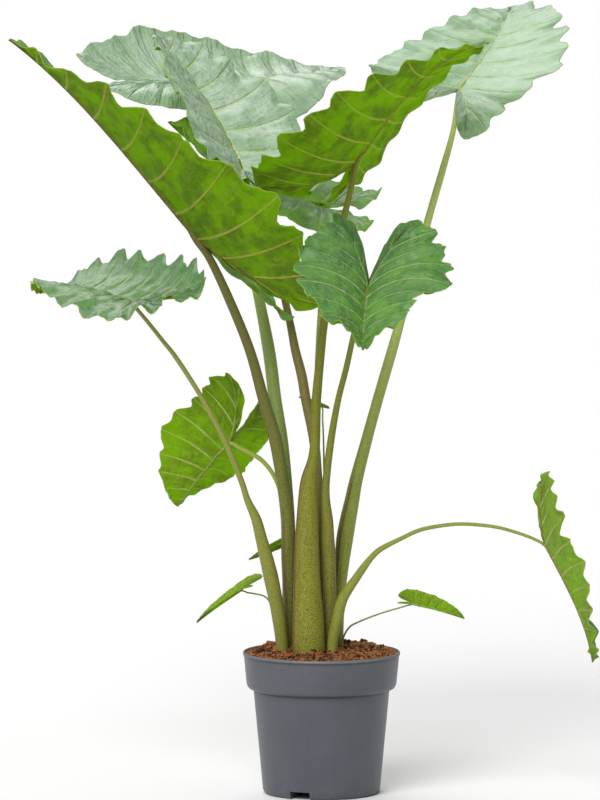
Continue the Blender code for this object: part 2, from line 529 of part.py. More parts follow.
def main():
    clear_scene()
    parts = new_collection("potted_alocasia")
    cutters = new_collection("cutters")
    soil_cuts = make_pot(parts, cutters)
    soil_cuts.append(make_corm(parts, cutters))
    soil = make_soil(parts, cutters)
    for name, leaf in LEAVES.items():
        size = SMALL if leaf.get("small") else BIG
        route = stalk_route(leaf, size)
        make_stalk(parts, "stalk_" + name, route, stalk_look(name))
        above_soil = np.argmax(route[:, 2] > SOIL_MIDDLE + 0.002)
        in_soil = route[:above_soil + 1]
        socket = make_stalk(cutters, "socket_" + name, in_soil, grow=SOIL_GAP)
        hide_cutter(socket)
        soil_cuts.append(socket)
        make_blade(parts, "blade_" + name, leaf, size,
                   BLADE_BACKLIT if name in BACKLIT_LEAVES else BLADE_UPPER)
    for cutter in soil_cuts:
        boolean(soil, cutter)


main()
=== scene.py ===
from math import cos, radians, sin, tau

import bpy
import numpy as np
from mathutils import Matrix, Vector, noise


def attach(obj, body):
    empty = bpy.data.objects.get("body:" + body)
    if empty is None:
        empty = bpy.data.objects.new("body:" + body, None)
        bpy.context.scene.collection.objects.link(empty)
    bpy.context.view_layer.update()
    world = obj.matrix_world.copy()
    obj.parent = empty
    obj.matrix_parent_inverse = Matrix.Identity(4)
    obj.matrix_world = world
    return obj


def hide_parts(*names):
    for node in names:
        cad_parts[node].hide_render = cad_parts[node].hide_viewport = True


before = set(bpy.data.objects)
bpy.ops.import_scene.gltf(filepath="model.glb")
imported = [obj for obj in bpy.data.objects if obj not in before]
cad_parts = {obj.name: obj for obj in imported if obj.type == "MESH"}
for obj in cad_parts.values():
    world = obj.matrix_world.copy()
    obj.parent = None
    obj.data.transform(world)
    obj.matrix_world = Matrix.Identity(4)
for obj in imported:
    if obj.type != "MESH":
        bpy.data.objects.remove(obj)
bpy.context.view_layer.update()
print("frame loaded:", len(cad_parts), "nodes")


# the view: a long lens, a little above the middle of the plant
view = dict(place=(-0.037, -12.0, 1.82), lookAt=(-0.037, 0, 0.678), lens=316.5, film=36, farthest=400)

bpy.ops.object.camera_add(location=view["place"])
camera = bpy.context.object
camera.rotation_euler = (Vector(view["lookAt"]) - camera.location).to_track_quat("-Z", "Y").to_euler()
camera.data.lens = view["lens"]
camera.data.sensor_width = view["film"]
camera.data.clip_end = view["farthest"]
bpy.context.scene.camera = camera
bpy.context.scene.view_settings.view_transform = "Standard"


class Wire:
    # a socket that Python sums can be written with
    def __init__(self, finish, socket):
        self.finish, self.socket = finish, socket

    def maths(self, operation, *values):
        return self.finish.node("ShaderNodeMath", dict(operation=operation), dict(enumerate(values)))

    def __add__(self, other):
        return self.maths("ADD", self, other)

    def __sub__(self, other):
        return self.maths("SUBTRACT", self, other)

    def __rsub__(self, other):
        return self.maths("SUBTRACT", other, self)

    def __mul__(self, other):
        return self.maths("MULTIPLY", self, other)

    def __truediv__(self, other):
        return self.maths("DIVIDE", self, other)

    __radd__, __rmul__ = __add__, __mul__


class Finish:
    # a material and the nodes in it
    def __init__(self, name):
        self.material = bpy.data.materials.new(name)
        self.material.use_nodes = True
        self.tree = self.material.node_tree
        self.shader = self.tree.nodes["Principled BSDF"]

    def fill(self, socket, value):
        if isinstance(value, Wire):
            self.tree.links.new(value.socket, socket)
        else:
            socket.default_value = value

    def node(self, kind, settings=None, values=None, output=0):
        made = self.tree.nodes.new(kind)
        for name, setting in (settings or {}).items():
            setattr(made, name, setting)
        for name, value in (values or {}).items():
            self.fill(made.inputs[name], value)
        return Wire(self, made.outputs[output])

    def set(self, **values):
        for name, value in values.items():
            self.fill(self.shader.inputs[name.replace("_", " ")], value)

    def mix(self, factor, first, second, kind="MIX"):
        settings = dict(data_type="RGBA", blend_type=kind)
        return self.node("ShaderNodeMix", settings, {0: factor, 6: first, 7: second}, 2)

    def step(self, value, low, high):
        # 0 under low, 1 over high, smooth between
        sockets = {"Value": value, "From Min": low, "From Max": high}
        return self.node("ShaderNodeMapRange", dict(interpolation_type="SMOOTHSTEP"), sockets)

    def place(self, scale=(1, 1, 1)):
        coords = self.node("ShaderNodeTexCoord", output=3)
        return self.node("ShaderNodeMapping", None, {"Vector": coords, "Scale": scale})

    def noise(self, scale, detail=3, roughness=0.5, where=None, stretch=(1, 1, 1)):
        where = where or self.place(stretch)
        values = {"Vector": where, "Scale": scale, "Detail": detail, "Roughness": roughness}
        return self.node("ShaderNodeTexNoise", None, values)

    def grid(self, x, y, z):
        return self.node("ShaderNodeCombineXYZ", None, {0: x, 1: y, 2: z})

    def upward(self):
        return self.node("ShaderNodeSeparateXYZ", None, {"Vector": self.place()}, 2)

    def attribute(self, name):
        return self.node("ShaderNodeAttribute", dict(attribute_name=name), output=2)

    def bump(self, height, distance, strength):
        values = {"Height": height, "Distance": distance, "Strength": strength}
        self.set(Normal=self.node("ShaderNodeBump", None, values))


def finished(piece, material, *nodes, slot):
    # gives a piece its finish, hangs it under the root, and hides the frame's nodes that it stands for
    piece.data.materials.clear()
    piece.data.materials.append(material)
    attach(piece, "root")
    if nodes:
        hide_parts(*nodes)


def alone(piece):
    # selects this piece and nothing else
    for other in bpy.context.selected_objects:
        other.select_set(False)
    piece.select_set(True)
    bpy.context.view_layer.objects.active = piece


def openForEditing(piece):
    # edit mode, with every point selected
    alone(piece)
    bpy.ops.object.mode_set(mode="EDIT")
    bpy.ops.mesh.select_all(action="SELECT")


def applied(piece, kind, **settings):
    # adds a modifier and applies it
    modifier = piece.modifiers.new(kind.title(), kind)
    for name, value in settings.items():
        setattr(modifier, name, value)
    alone(piece)
    bpy.ops.object.modifier_apply(modifier=modifier.name)


def meshPiece(name, points, faces, edges=(), **attributes):
    # a new piece from its points, faces and edges, with a number at each point for each attribute
    mesh = bpy.data.meshes.new(name)
    mesh.from_pydata([tuple(point) for point in points], edges, faces)
    for key, values in attributes.items():
        stored = mesh.attributes.new(key, "FLOAT", "POINT")
        stored.data.foreach_set("value", np.asarray(values, np.float32).ravel())
    piece = bpy.data.objects.new(name, mesh)
    bpy.context.scene.collection.objects.link(piece)
    return piece


def smoothShaded(piece, angle):
    alone(piece)
    bpy.ops.object.shade_smooth_by_angle(angle=radians(angle))


# studio: a wide pale floor under a soft white sky, one soft lamp from the front and one from behind
studio = dict(
    floorSize=160, floorHeight=-0.0005, floorColour=(0.93, 0.93, 0.93, 1), sky=0.30,
    front=dict(power=2.3, turn=(50, 0, -22), softness=36),
    behind=dict(power=1.3, turn=(-38, 0, 14), softness=50),
)

bpy.ops.mesh.primitive_plane_add(size=studio["floorSize"], location=(0, 0, studio["floorHeight"]))
floor = bpy.context.object
floor.name = "studio_floor"
floorFinish = Finish("floor_paint")
floorFinish.set(Base_Color=studio["floorColour"], Roughness=0.9)
floor.data.materials.append(floorFinish.material)

world = bpy.data.worlds.new("studio_sky")
world.use_nodes = True
sky = world.node_tree.nodes["Background"]
sky.inputs["Color"].default_value = (1, 1, 1, 1)
sky.inputs["Strength"].default_value = studio["sky"]
bpy.context.scene.world = world
for key in ("front", "behind"):
    lamp = studio[key]
    bpy.ops.object.light_add(type="SUN", rotation=[radians(a) for a in lamp["turn"]])
    bpy.context.object.name = "lamp_" + key
    bpy.context.object.data.energy = lamp["power"]
    bpy.context.object.data.angle = radians(lamp["softness"])
print("studio ready")


# pot: blue-grey satin plastic with a deep collar, a thin lip and drainage channels
pot = dict(
    height=0.244, rim=0.135, collarBottom=(0.129, 0.189), bodyTop=(0.117, 0.179), base=0.101,
    wall=0.0024, steps=144, edgeAngle=35,
    channels=(-112, 8, 128), channelHeight=0.013, channelWidth=0.036, channelStart=0.045,
    channelPast=0.02, roofLift=0.0005,
    # lip is the colour of a painted highlight, the bright line round the top of the lip
    colour=(0.062, 0.068, 0.084, 1), worn=(0.1, 0.108, 0.128, 1), lip=(0.15, 0.16, 0.18, 1),
    # the dark colour between dust and splash is painted shade, for the bands below the lip and under the
    # collar
    dust=(0.2, 0.17, 0.13, 1), paintedShade=(0.02, 0.018, 0.014, 1), splash=(0.1, 0.045, 0.022, 1),
)


def potOutline():
    # radius and height, from the middle of the base up the outside, over the lip and down the inside
    rim, height, base, wall = pot["rim"], pot["height"], pot["base"], pot["wall"]
    bodyRadius, bodyTop = pot["bodyTop"]
    collarRadius, collarBottom = pot["collarBottom"]
    outside = [(0, 0), (base - 0.007, 0), (base - 0.0045, 0.0006), (base - 0.002, 0.0022),
               (base, 0.006), (base + 0.0011, 0.018), (base + 0.0020, 0.028),
               (bodyRadius - 0.0002, bodyTop - 0.003), (bodyRadius + 0.0002, bodyTop),
               (bodyRadius + 0.004, bodyTop + 0.0008), (collarRadius - 0.0035, collarBottom - 0.007),
               (collarRadius - 0.001, collarBottom - 0.003), (collarRadius, collarBottom),
               (rim - 0.0014, height - 0.0074), (rim - 0.0012, height - 0.0060), (rim, height - 0.0052),
               (rim + 0.0002, height - 0.0035), (rim, height - 0.0012), (rim - 0.0007, height - 0.0002)]
    inside = [(rim - wall, height), (rim - wall - 0.0008, height - 0.001),
              (collarRadius - wall, collarBottom), (collarRadius - wall - 0.004, collarBottom - 0.006),
              (bodyRadius - wall, bodyTop + 0.002), (base - wall, 0.006), (base - 0.006, wall), (0, wall)]
    return outside + inside


def spun(name, outline, steps):
    # an outline turned round the upright axis, closed and with its faces outwards
    points = [(radius, 0, height) for radius, height in outline]
    piece = meshPiece(name, points, [], [(i, i + 1) for i in range(len(points) - 1)])
    openForEditing(piece)
    bpy.ops.mesh.spin(steps=steps, angle=tau, center=(0, 0, 0), axis=(0, 0, 1))
    bpy.ops.mesh.select_all(action="SELECT")
    bpy.ops.mesh.remove_doubles(threshold=0.00003)
    bpy.ops.mesh.normals_make_consistent(inside=False)
    bpy.ops.object.mode_set(mode="OBJECT")
    return piece


def cutBy(piece, cutter, operation):
    applied(piece, "BOOLEAN", operation=operation, object=cutter, solver="EXACT")
    bpy.data.objects.remove(cutter)


def channelBox(size, along, height, angle):
    # a box that lies outwards from the middle of the base
    bpy.ops.mesh.primitive_cube_add(size=1, location=(cos(angle) * along, sin(angle) * along, height))
    box = bpy.context.object
    box.scale = size
    box.rotation_euler.z = angle
    alone(box)
    bpy.ops.object.transform_apply(location=False, rotation=True, scale=True)
    return box


potPiece = spun("nursery_pot", potOutline(), pot["steps"])
wall = pot["wall"]
channelLength = pot["base"] - pot["channelStart"]
channelMiddle = pot["channelStart"] + channelLength / 2
roof = (channelLength - wall, pot["channelWidth"] + 2 * wall, pot["channelHeight"] + wall)
cut = (channelLength + pot["channelPast"], pot["channelWidth"], 2 * pot["channelHeight"])
for degrees in pot["channels"]:
    angle = radians(degrees)
    roofBox = channelBox(roof, channelMiddle - wall, roof[2] / 2 + pot["roofLift"], angle)
    cutBy(potPiece, roofBox, "UNION")
    cutBox = channelBox(cut, channelMiddle + pot["channelPast"] / 2, 0, angle)
    cutBy(potPiece, cutBox, "DIFFERENCE")
smoothShaded(potPiece, pot["edgeAngle"])

plastic = Finish("pot_plastic")
level = plastic.upward()
potTop, bodyTop = pot["height"], pot["bodyTop"][1]
cloud = plastic.noise(9, 4)
streaks = plastic.noise(60, 3, 0.6, stretch=(1, 1, 0.06))
scuffs = plastic.step(plastic.noise(420, 2, 0.7), 0.66, 0.74) * plastic.step(cloud, 0.42, 0.62)
collarWear = plastic.step(level, pot["collarBottom"][1] - 0.002, potTop)
tone = plastic.mix(plastic.step(cloud, 0.3, 0.75) * 0.5 + streaks * 0.25, pot["colour"], pot["worn"])
# painted highlight: a bright line round the top of the lip
lip = plastic.step(level, potTop - 0.0045, potTop - 0.003)
tone = plastic.mix(lip * 0.9, tone, pot["lip"])
# painted shadow: a dark band just below the lip's bright line
lipShadow = plastic.step(level, potTop - 0.010, potTop - 0.007) * (1 - lip)
tone = plastic.mix(lipShadow * 0.45, tone, pot["paintedShade"])
lowest = 1 - plastic.step(level, 0.0, 0.035)
dusty = plastic.step(plastic.noise(150, 4, 0.65), 0.52, 0.72) * (lowest * 0.5 + collarWear * 0.12 + 0.06)
tone = plastic.mix(dusty, tone, pot["dust"])
tone = plastic.mix(scuffs * 0.25, tone, pot["dust"])
# painted shadow: a dark band on the body just under the collar's overhang
underCollarShade = plastic.step(level, bodyTop - 0.004, bodyTop)
underCollarShade = underCollarShade * (1 - plastic.step(level, bodyTop, bodyTop + 0.005))
tone = plastic.mix(underCollarShade * 0.8, tone, pot["paintedShade"])
splashed = plastic.step(plastic.noise(16, 2), 0.40, 0.58) * (0.55 + collarWear * 0.45)
splashes = plastic.step(plastic.noise(240, 1, 0.3), 0.685, 0.715) * splashed
tone = plastic.mix(splashes * 0.85, tone, pot["splash"])
plastic.set(Base_Color=tone, Roughness=plastic.step(cloud, 0.2, 0.8) * 0.12 + 0.40,
            Coat_Weight=0.08, Coat_Roughness=0.3)
plastic.bump(plastic.noise(1500, 2) + streaks * 0.6, 0.00012, 0.6)
finished(potPiece, plastic.material, "pot", slot="pot")
print("pot ready")


# soil: a low heap of peat and coir, rough on top, with loose crumbs and a few dark clods
soil = dict(
    edge=0.2415, middle=0.252, bottom=0.2, radius=0.1305, steps=220, rings=46, lump=0.0055,
    backLift=0.0096, edgeAngle=60, seed=11, sunk=0.25,
    crumbs=3600, crumbShapes=8, crumbSize=(0.0012, 0.0036),
    clods=110, clodShapes=6, clodSize=(0.004, 0.0085),
    dark=(0.05, 0.022, 0.01, 1), red=(0.42, 0.165, 0.06, 1), pale=(0.62, 0.33, 0.15, 1),
)


def soilHeight(x, y):
    # a gentle heap, higher towards the back, with lumps that die out at the pot's wall
    share = min(1, (x * x + y * y) ** 0.5 / soil["radius"])
    heap = soil["edge"] + (soil["middle"] - soil["edge"]) * (1 - share ** 2)
    lift = soil["backLift"] * max(0, y / soil["radius"]) * (1 - share ** 4)
    place = Vector((x, y, 0))
    lumps = noise.noise(place * 38) + 0.6 * noise.noise(place * 95) + 0.35 * noise.noise(place * 260)
    return heap + lift + soil["lump"] * lumps * (1 - share ** 8)


soilOutline = [(0, soil["middle"])]
soilOutline += [(soil["radius"] * (i + 1) / soil["rings"], soil["edge"]) for i in range(soil["rings"])]
soilOutline += [(soil["radius"] - 0.004, soil["bottom"]), (0, soil["bottom"])]
soilPiece = spun("soil_heap", soilOutline, soil["steps"])
for vertex in soilPiece.data.vertices:
    if vertex.co.z > soil["bottom"] + 0.01:
        vertex.co.z = soilHeight(vertex.co.x, vertex.co.y)
smoothShaded(soilPiece, soil["edgeAngle"])


def crumbShapes(rng, count, subdivisions):
    # a few knobbly little stones of soil, each from an icosphere
    shapes = []
    for i in range(count):
        bpy.ops.mesh.primitive_ico_sphere_add(subdivisions=subdivisions, radius=1)
        ball = bpy.context.object
        points = np.array([v.co for v in ball.data.vertices])
        faces = [tuple(p.vertices) for p in ball.data.polygons]
        bumps = [0.75 + 0.5 * noise.noise(Vector(p) * 1.4 + Vector((i * 7.1, 0, 0))) for p in points]
        squash = np.array([1, rng.uniform(0.6, 0.95), rng.uniform(0.5, 0.85)])
        shapes.append((points * np.array(bumps)[:, None] * squash, faces))
        bpy.data.objects.remove(ball)
    return shapes


rng = np.random.default_rng(soil["seed"])
crumbs, clods = crumbShapes(rng, soil["crumbShapes"], 1), crumbShapes(rng, soil["clodShapes"], 2)
points, faces, tones = [], [], []
for i in range(soil["crumbs"] + soil["clods"]):
    big = i >= soil["crumbs"]
    low, high = soil["clodSize"] if big else soil["crumbSize"]
    size = low + (high - low) * rng.random() ** 2.2
    far = (soil["radius"] - 0.002 - size) * rng.random() ** 0.5
    around = rng.random() * tau
    x, y = far * cos(around), far * sin(around)
    turned = Matrix.Rotation(rng.random() * tau, 3, "Z") @ Matrix.Rotation(rng.uniform(-1, 1), 3, "X")
    shapes = clods if big else crumbs
    shape, shapeFaces = shapes[int(rng.integers(len(shapes)))]
    spot = np.array((x, y, soilHeight(x, y) + size * soil["sunk"]))
    start = len(tones)
    points.append(shape @ np.array(turned).T * size + spot)
    faces += [tuple(start + k for k in face) for face in shapeFaces]
    tones += [rng.random() * (0.45 if big else 1)] * len(shape)
crumbPiece = meshPiece("soil_crumbs", np.vstack(points), faces, tone=tones)

earth = Finish("potting_soil_crumbs")
grain = earth.noise(520, 4, 0.65)
patches = earth.noise(70, 3, 0.6)
colour = earth.mix(earth.step(patches, 0.36, 0.60), soil["dark"], soil["red"])
colour = earth.mix(earth.step(grain, 0.54, 0.78), colour, soil["pale"])
earth.set(Base_Color=colour, Roughness=0.95, Specular_IOR_Level=0.2)
earth.bump(grain + earth.noise(1600, 2), 0.0016, 1.0)
finished(soilPiece, earth.material, "potting_soil", slot="potting_soil")

loose = Finish("loose_crumbs")
grain = loose.noise(700, 3, 0.6)
toneOf = loose.attribute("tone")
colour = loose.mix(loose.step(toneOf, 0.10, 0.55), soil["dark"], soil["red"])
colour = loose.mix(loose.step(toneOf, 0.80, 1.0) * loose.step(grain, 0.4, 0.6), colour, soil["pale"])
loose.set(Base_Color=colour, Roughness=0.95, Specular_IOR_Level=0.2)
loose.bump(grain, 0.0008, 0.8)
finished(crumbPiece, loose.material, slot="potting_soil")

# corm: the frame's own piece, with rings of old bark
corm = dict(dark=(0.09, 0.05, 0.025, 1), pale=(0.26, 0.16, 0.08, 1))

bark = Finish("corm_skin")
rings = bark.noise(60, 4, 0.6, stretch=(0.3, 0.3, 2.5))
bark.set(Base_Color=bark.mix(rings, corm["dark"], corm["pale"]), Roughness=0.85)
bark.bump(rings, 0.002, 0.8)
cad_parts["rhizome"].data.materials.clear()
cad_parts["rhizome"].data.materials.append(bark.material)
print("soil and corm ready")


# one half of a flat blade, as shares of its length: each side vein's start on the midrib or the lobe's
# rib, and its end on the margin, from the tip round to the notch at the stalk
veinStarts = np.array(
    [(0, 1), (0, 0.86), (0, 0.72), (0, 0.57), (0, 0.42), (0, 0.27), (0, 0.12), (0, 0),
     (0.05, -0.12), (0.105, -0.25), (0.165, -0.39), (0.105, -0.25), (0.05, -0.12), (0, 0)])
veinEnds = np.array(
    [(0, 1), (0.075, 0.93), (0.155, 0.82), (0.225, 0.68), (0.285, 0.51), (0.325, 0.32), (0.345, 0.12),
     (0.35, -0.10), (0.34, -0.27), (0.295, -0.41), (0.215, -0.50), (0.125, -0.43), (0.06, -0.27),
     (0, -0.07)])

# each leaf: the blade's joint with its stalk, the degrees that turn and bend it, its length and shape
# factors, and its stalk's route as x, y, z and radius, from the soil up; a pair is for the left half and
# the right half, seen from the stalk towards the tip with the upper side up. reach stretches a half's
# veins, from the tip round to the notch, and without it they stay as they are
leaves = {
    "left_large": dict(
        joint=(-0.209, -0.042, 0.959), heading=170, pitch=48, roll=42, bend=25, sweep=-19,
        fold=(-19, 36), cup=(31, 0), lobeBend=-11, length=0.477, width=1.54, lobe=0.95, taper=0.3,
        reach=((0.95, 0.95, 0.95, 1.05, 0.95, 1, 1.15, 1.05, 0.95, 1.05, 0.9, 0.9),
               (1, 1, 0.95, 0.9, 0.85, 0.75, 0.7, 0.7, 0.7, 0.8, 0.85, 1)),
        stalk=((-0.054, 0.008, 0.261, 0.012), (-0.054, 0.004, 0.335, 0.0125), (-0.057, 0, 0.404, 0.0125),
               (-0.058, 0.002, 0.472, 0.0125), (-0.067, 0.003, 0.54, 0.0114), (-0.079, 0, 0.609, 0.0115),
               (-0.099, -0.01, 0.679, 0.0102), (-0.123, -0.025, 0.766, 0.0088),
               (-0.157, -0.036, 0.852, 0.0081), (-0.19, -0.045, 0.923, 0.007))),
    "back_wide": dict(
        joint=(-0.24, 0.375, 1.2), heading=25, pitch=2, roll=-8, bend=-8, sweep=-30,
        fold=(17, 2), cup=(60, -60), lobeBend=-13, length=0.368, width=1.05, lobe=1, taper=-0.05,
        reach=((1, 0.95, 0.95, 0.9, 0.95, 1.05, 1.15, 1, 1, 1, 1, 1),
               (1, 0.95, 0.9, 1.15, 1.25, 1.05, 0.95, 0.9, 0.95, 1, 1, 1)),
        stalk=((-0.055, 0.042, 0.256, 0.0115), (-0.055, 0.049, 0.396, 0.0115),
               (-0.057, 0.06, 0.465, 0.0115), (-0.062, 0.073, 0.533, 0.0115),
               (-0.069, 0.092, 0.6, 0.0115), (-0.08, 0.118, 0.667, 0.0115), (-0.091, 0.148, 0.75, 0.0112),
               (-0.111, 0.188, 0.85, 0.0092), (-0.135, 0.245, 0.947, 0.0085),
               (-0.165, 0.295, 1.045, 0.008), (-0.201, 0.34, 1.13, 0.0075))),
    "centre_upright": dict(
        joint=(-0.137, 0.1, 1.07), heading=110, pitch=37, roll=28, bend=10, sweep=-22,
        fold=(9, 33), cup=(-3, 0), lobeBend=-33, length=0.359, width=0.94, lobe=0.75, taper=-0.13,
        reach=((0.95, 0.95, 1, 1.1, 1.1, 1.05, 0.95, 0.95, 0.95, 1, 1, 1),
               (1, 1.05, 0.95, 1.1, 1.25, 1.2, 1.2, 1.1, 1, 0.95, 0.95, 0.95)),
        stalk=((0.001, 0.012, 0.26, 0.008), (0, 0.02, 0.37, 0.0085), (-0.003, 0.03, 0.469, 0.009),
               (-0.007, 0.04, 0.537, 0.009), (-0.013, 0.052, 0.605, 0.009), (-0.027, 0.07, 0.673, 0.009),
               (-0.034, 0.083, 0.712, 0.0088), (-0.045, 0.1, 0.755, 0.008), (-0.053, 0.116, 0.795, 0.007),
               (-0.065, 0.12, 0.85, 0.0065), (-0.079, 0.115, 0.92, 0.006), (-0.098, 0.108, 0.983, 0.0057),
               (-0.119, 0.103, 1.034, 0.0055))),
    "right_arching": dict(
        joint=(0.057, -0.02, 1.089), heading=-5, pitch=54, roll=-23, bend=50, sweep=19,
        fold=(-8, -2), cup=(59, 21), lobeBend=-46, length=0.337, width=1.68, lobe=0.89, taper=0.29,
        reach=((0.9, 0.75, 0.65, 0.6, 0.55, 0.5, 0.5, 0.5, 0.55, 0.6, 0.7, 0.8),
               (0.95, 0.9, 0.9, 1, 1.05, 1, 1.1, 1.1, 1.1, 0.95, 0.95, 0.9)),
        stalk=((-0.022, -0.038, 0.262, 0.029), (-0.023, -0.036, 0.304, 0.0275),
               (-0.025, -0.034, 0.373, 0.0238), (-0.025, -0.033, 0.441, 0.0212),
               (-0.023, -0.032, 0.51, 0.0178), (-0.021, -0.031, 0.544, 0.015),
               (-0.014, -0.03, 0.578, 0.0105), (-0.011, -0.03, 0.612, 0.0089),
               (-0.009, -0.028, 0.68, 0.0085), (-0.001, -0.026, 0.766, 0.0074),
               (0.005, -0.025, 0.818, 0.0071), (0.021, -0.022, 0.92, 0.0064),
               (0.039, -0.02, 0.997, 0.0058), (0.052, -0.021, 1.05, 0.005))),
    "front_heart": dict(
        joint=(0.077, -0.24, 0.891), heading=-98, pitch=-37, roll=-7, bend=-40, sweep=-6,
        fold=(50, 50), cup=(-55, -55), lobeBend=-50, length=0.222, width=1.7, lobe=1.18, taper=0.05,
        reach=((1, 1, 1.05, 0.95, 0.95, 1.2, 1.15, 1.05, 1.1, 1.05, 1.05, 1.1),
               (1, 1, 1.05, 1, 1.05, 1.05, 1.05, 0.95, 0.85, 0.95, 1, 1)),
        stalk=((0.013, -0.012, 0.263, 0.01), (0.014, -0.015, 0.337, 0.0115), (0.013, -0.02, 0.406, 0.012),
               (0.011, -0.024, 0.441, 0.0115), (0.01, -0.028, 0.475, 0.01), (0.007, -0.032, 0.51, 0.0078),
               (0.008, -0.036, 0.545, 0.0067), (0.016, -0.045, 0.614, 0.0064),
               (0.028, -0.057, 0.683, 0.0055), (0.041, -0.07, 0.736, 0.0053),
               (0.052, -0.098, 0.789, 0.005), (0.06, -0.137, 0.83, 0.005),
               (0.07, -0.192, 0.869, 0.0048))),
    "right_high": dict(
        joint=(0.238, 0.15, 1.205), heading=55, pitch=30, roll=43, bend=27, sweep=-14,
        fold=(-21, 48), cup=(-15, 0), lobeBend=38, length=0.29, width=1.67, lobe=0.6, taper=0.03,
        reach=((0.95, 0.9, 0.9, 0.9, 0.95, 1, 1.05, 0.95, 1, 1, 1, 1),
               (1.05, 1.1, 1.05, 1.05, 1.1, 1.1, 0.95, 0.85, 0.95, 1, 1, 1)),
        stalk=((0.028, 0.018, 0.263, 0.01), (0.029, 0.026, 0.332, 0.0115), (0.032, 0.029, 0.366, 0.0125),
               (0.036, 0.033, 0.4, 0.0133), (0.04, 0.037, 0.434, 0.015), (0.046, 0.041, 0.468, 0.0145),
               (0.053, 0.045, 0.502, 0.013), (0.06, 0.049, 0.536, 0.0117), (0.078, 0.057, 0.604, 0.01),
               (0.097, 0.067, 0.672, 0.0095), (0.122, 0.08, 0.757, 0.0092), (0.138, 0.09, 0.813, 0.008),
               (0.165, 0.105, 0.91, 0.0072), (0.189, 0.118, 0.996, 0.0066), (0.209, 0.13, 1.064, 0.0062),
               (0.228, 0.142, 1.133, 0.0049))),
    "back_low": dict(
        joint=(-0.006, 0.25, 0.993), heading=173, pitch=21, roll=8, bend=-23, sweep=-14,
        fold=(4, 50), cup=(-50, -50), lobeBend=-20, length=0.303, width=1.32, lobe=0.7, taper=-0.16,
        stalk=((0.013, 0.036, 0.257, 0.0065), (0.008, 0.045, 0.362, 0.0065),
               (-0.003, 0.062, 0.464, 0.006), (-0.009, 0.095, 0.565, 0.006), (-0.008, 0.13, 0.666, 0.006),
               (-0.004, 0.165, 0.766, 0.0055), (0, 0.2, 0.85, 0.005), (-0.003, 0.233, 0.932, 0.0045))),
    "left_small": dict(
        joint=(-0.326, -0.1, 0.858), heading=138, pitch=10, roll=12, bend=26, sweep=16,
        fold=(0, 20), cup=(-42, 50), lobeBend=-23, length=0.241, width=1.33, lobe=1.03, taper=-0.07,
        reach=(None, (1, 1, 1, 1.05, 1, 1, 1.05, 1.05, 1, 1, 1, 1)),
        stalk=((-0.068, -0.022, 0.262, 0.0113), (-0.073, -0.028, 0.304, 0.0122),
               (-0.079, -0.034, 0.339, 0.0125), (-0.086, -0.04, 0.374, 0.0132),
               (-0.094, -0.045, 0.409, 0.0122), (-0.103, -0.05, 0.444, 0.0105),
               (-0.112, -0.056, 0.479, 0.009), (-0.127, -0.061, 0.513, 0.006),
               (-0.138, -0.066, 0.548, 0.0053), (-0.166, -0.074, 0.617, 0.0053),
               (-0.202, -0.083, 0.686, 0.0043), (-0.245, -0.09, 0.755, 0.0042),
               (-0.271, -0.094, 0.789, 0.0037), (-0.301, -0.098, 0.827, 0.0035))),
    "left_backlit": dict(
        joint=(-0.159, 0.06, 0.6), heading=173, pitch=-45, roll=40, bend=-16, sweep=30,
        fold=(6, 36), cup=(49, -55), lobeBend=-50, length=0.16, width=1.8, lobe=1.4, taper=-0.06,
        reach=((0.9, 0.9, 0.95, 1, 1.15, 1.15, 1, 1, 1.1, 1.05, 1.05, 1.05),
               (1, 1.05, 1.05, 1.1, 1.1, 1, 1, 1, 1, 1, 1, 1)),
        stalk=((-0.064, 0.024, 0.259, 0.0038), (-0.064, 0.032, 0.33, 0.0038),
               (-0.064, 0.036, 0.43, 0.0038), (-0.068, 0.035, 0.5, 0.0038), (-0.08, 0.036, 0.54, 0.0038),
               (-0.101, 0.042, 0.568, 0.004), (-0.123, 0.046, 0.582, 0.0042),
               (-0.14, 0.05, 0.59, 0.0036))),
    "right_drooping": dict(
        joint=(0.381, -0.12, 0.442), heading=-27, pitch=-59, roll=-29, bend=19, sweep=24,
        fold=(22, 26), cup=(-22, 0), lobeBend=-35, length=0.229, width=1.1, lobe=1.09, taper=0.3,
        stalk=((0.019, -0.037, 0.266, 0.0095), (0.027, -0.042, 0.305, 0.01),
               (0.036, -0.048, 0.341, 0.0095), (0.058, -0.058, 0.376, 0.0075),
               (0.07, -0.062, 0.394, 0.0067), (0.084, -0.066, 0.413, 0.0054),
               (0.101, -0.069, 0.429, 0.0048), (0.133, -0.08, 0.447, 0.0038),
               (0.166, -0.086, 0.463, 0.0036), (0.2, -0.091, 0.471, 0.0034),
               (0.234, -0.096, 0.475, 0.0032), (0.268, -0.101, 0.474, 0.0031),
               (0.301, -0.106, 0.47, 0.003), (0.335, -0.111, 0.461, 0.0028),
               (0.362, -0.116, 0.451, 0.0027))),
    "right_seedling": dict(
        joint=(0.159, -0.03, 0.33), heading=-5, pitch=-14, roll=0, bend=4, sweep=3,
        fold=(35, 19), cup=(0, -29), lobeBend=27, length=0.09, width=1.12, lobe=0.6, taper=0.03,
        stalk=((0.036, -0.008, 0.263, 0.0017), (0.047, -0.01, 0.286, 0.0017),
               (0.065, -0.013, 0.297, 0.0016), (0.099, -0.018, 0.311, 0.0015),
               (0.133, -0.024, 0.322, 0.0014))),
    "left_seedling": dict(
        joint=(-0.139, 0.03, 0.346), heading=154, pitch=-34, roll=0, bend=5, sweep=-5,
        fold=(8, 35), cup=(-24, -10), lobeBend=30, length=0.103, width=1.03, lobe=0.7, taper=0,
        stalk=((-0.077, 0.014, 0.26, 0.0017), (-0.083, 0.02, 0.31, 0.0017),
               (-0.095, 0.024, 0.334, 0.0016), (-0.114, 0.027, 0.34, 0.0015),
               (-0.128, 0.029, 0.342, 0.0014))),
    "inner_seedling": dict(
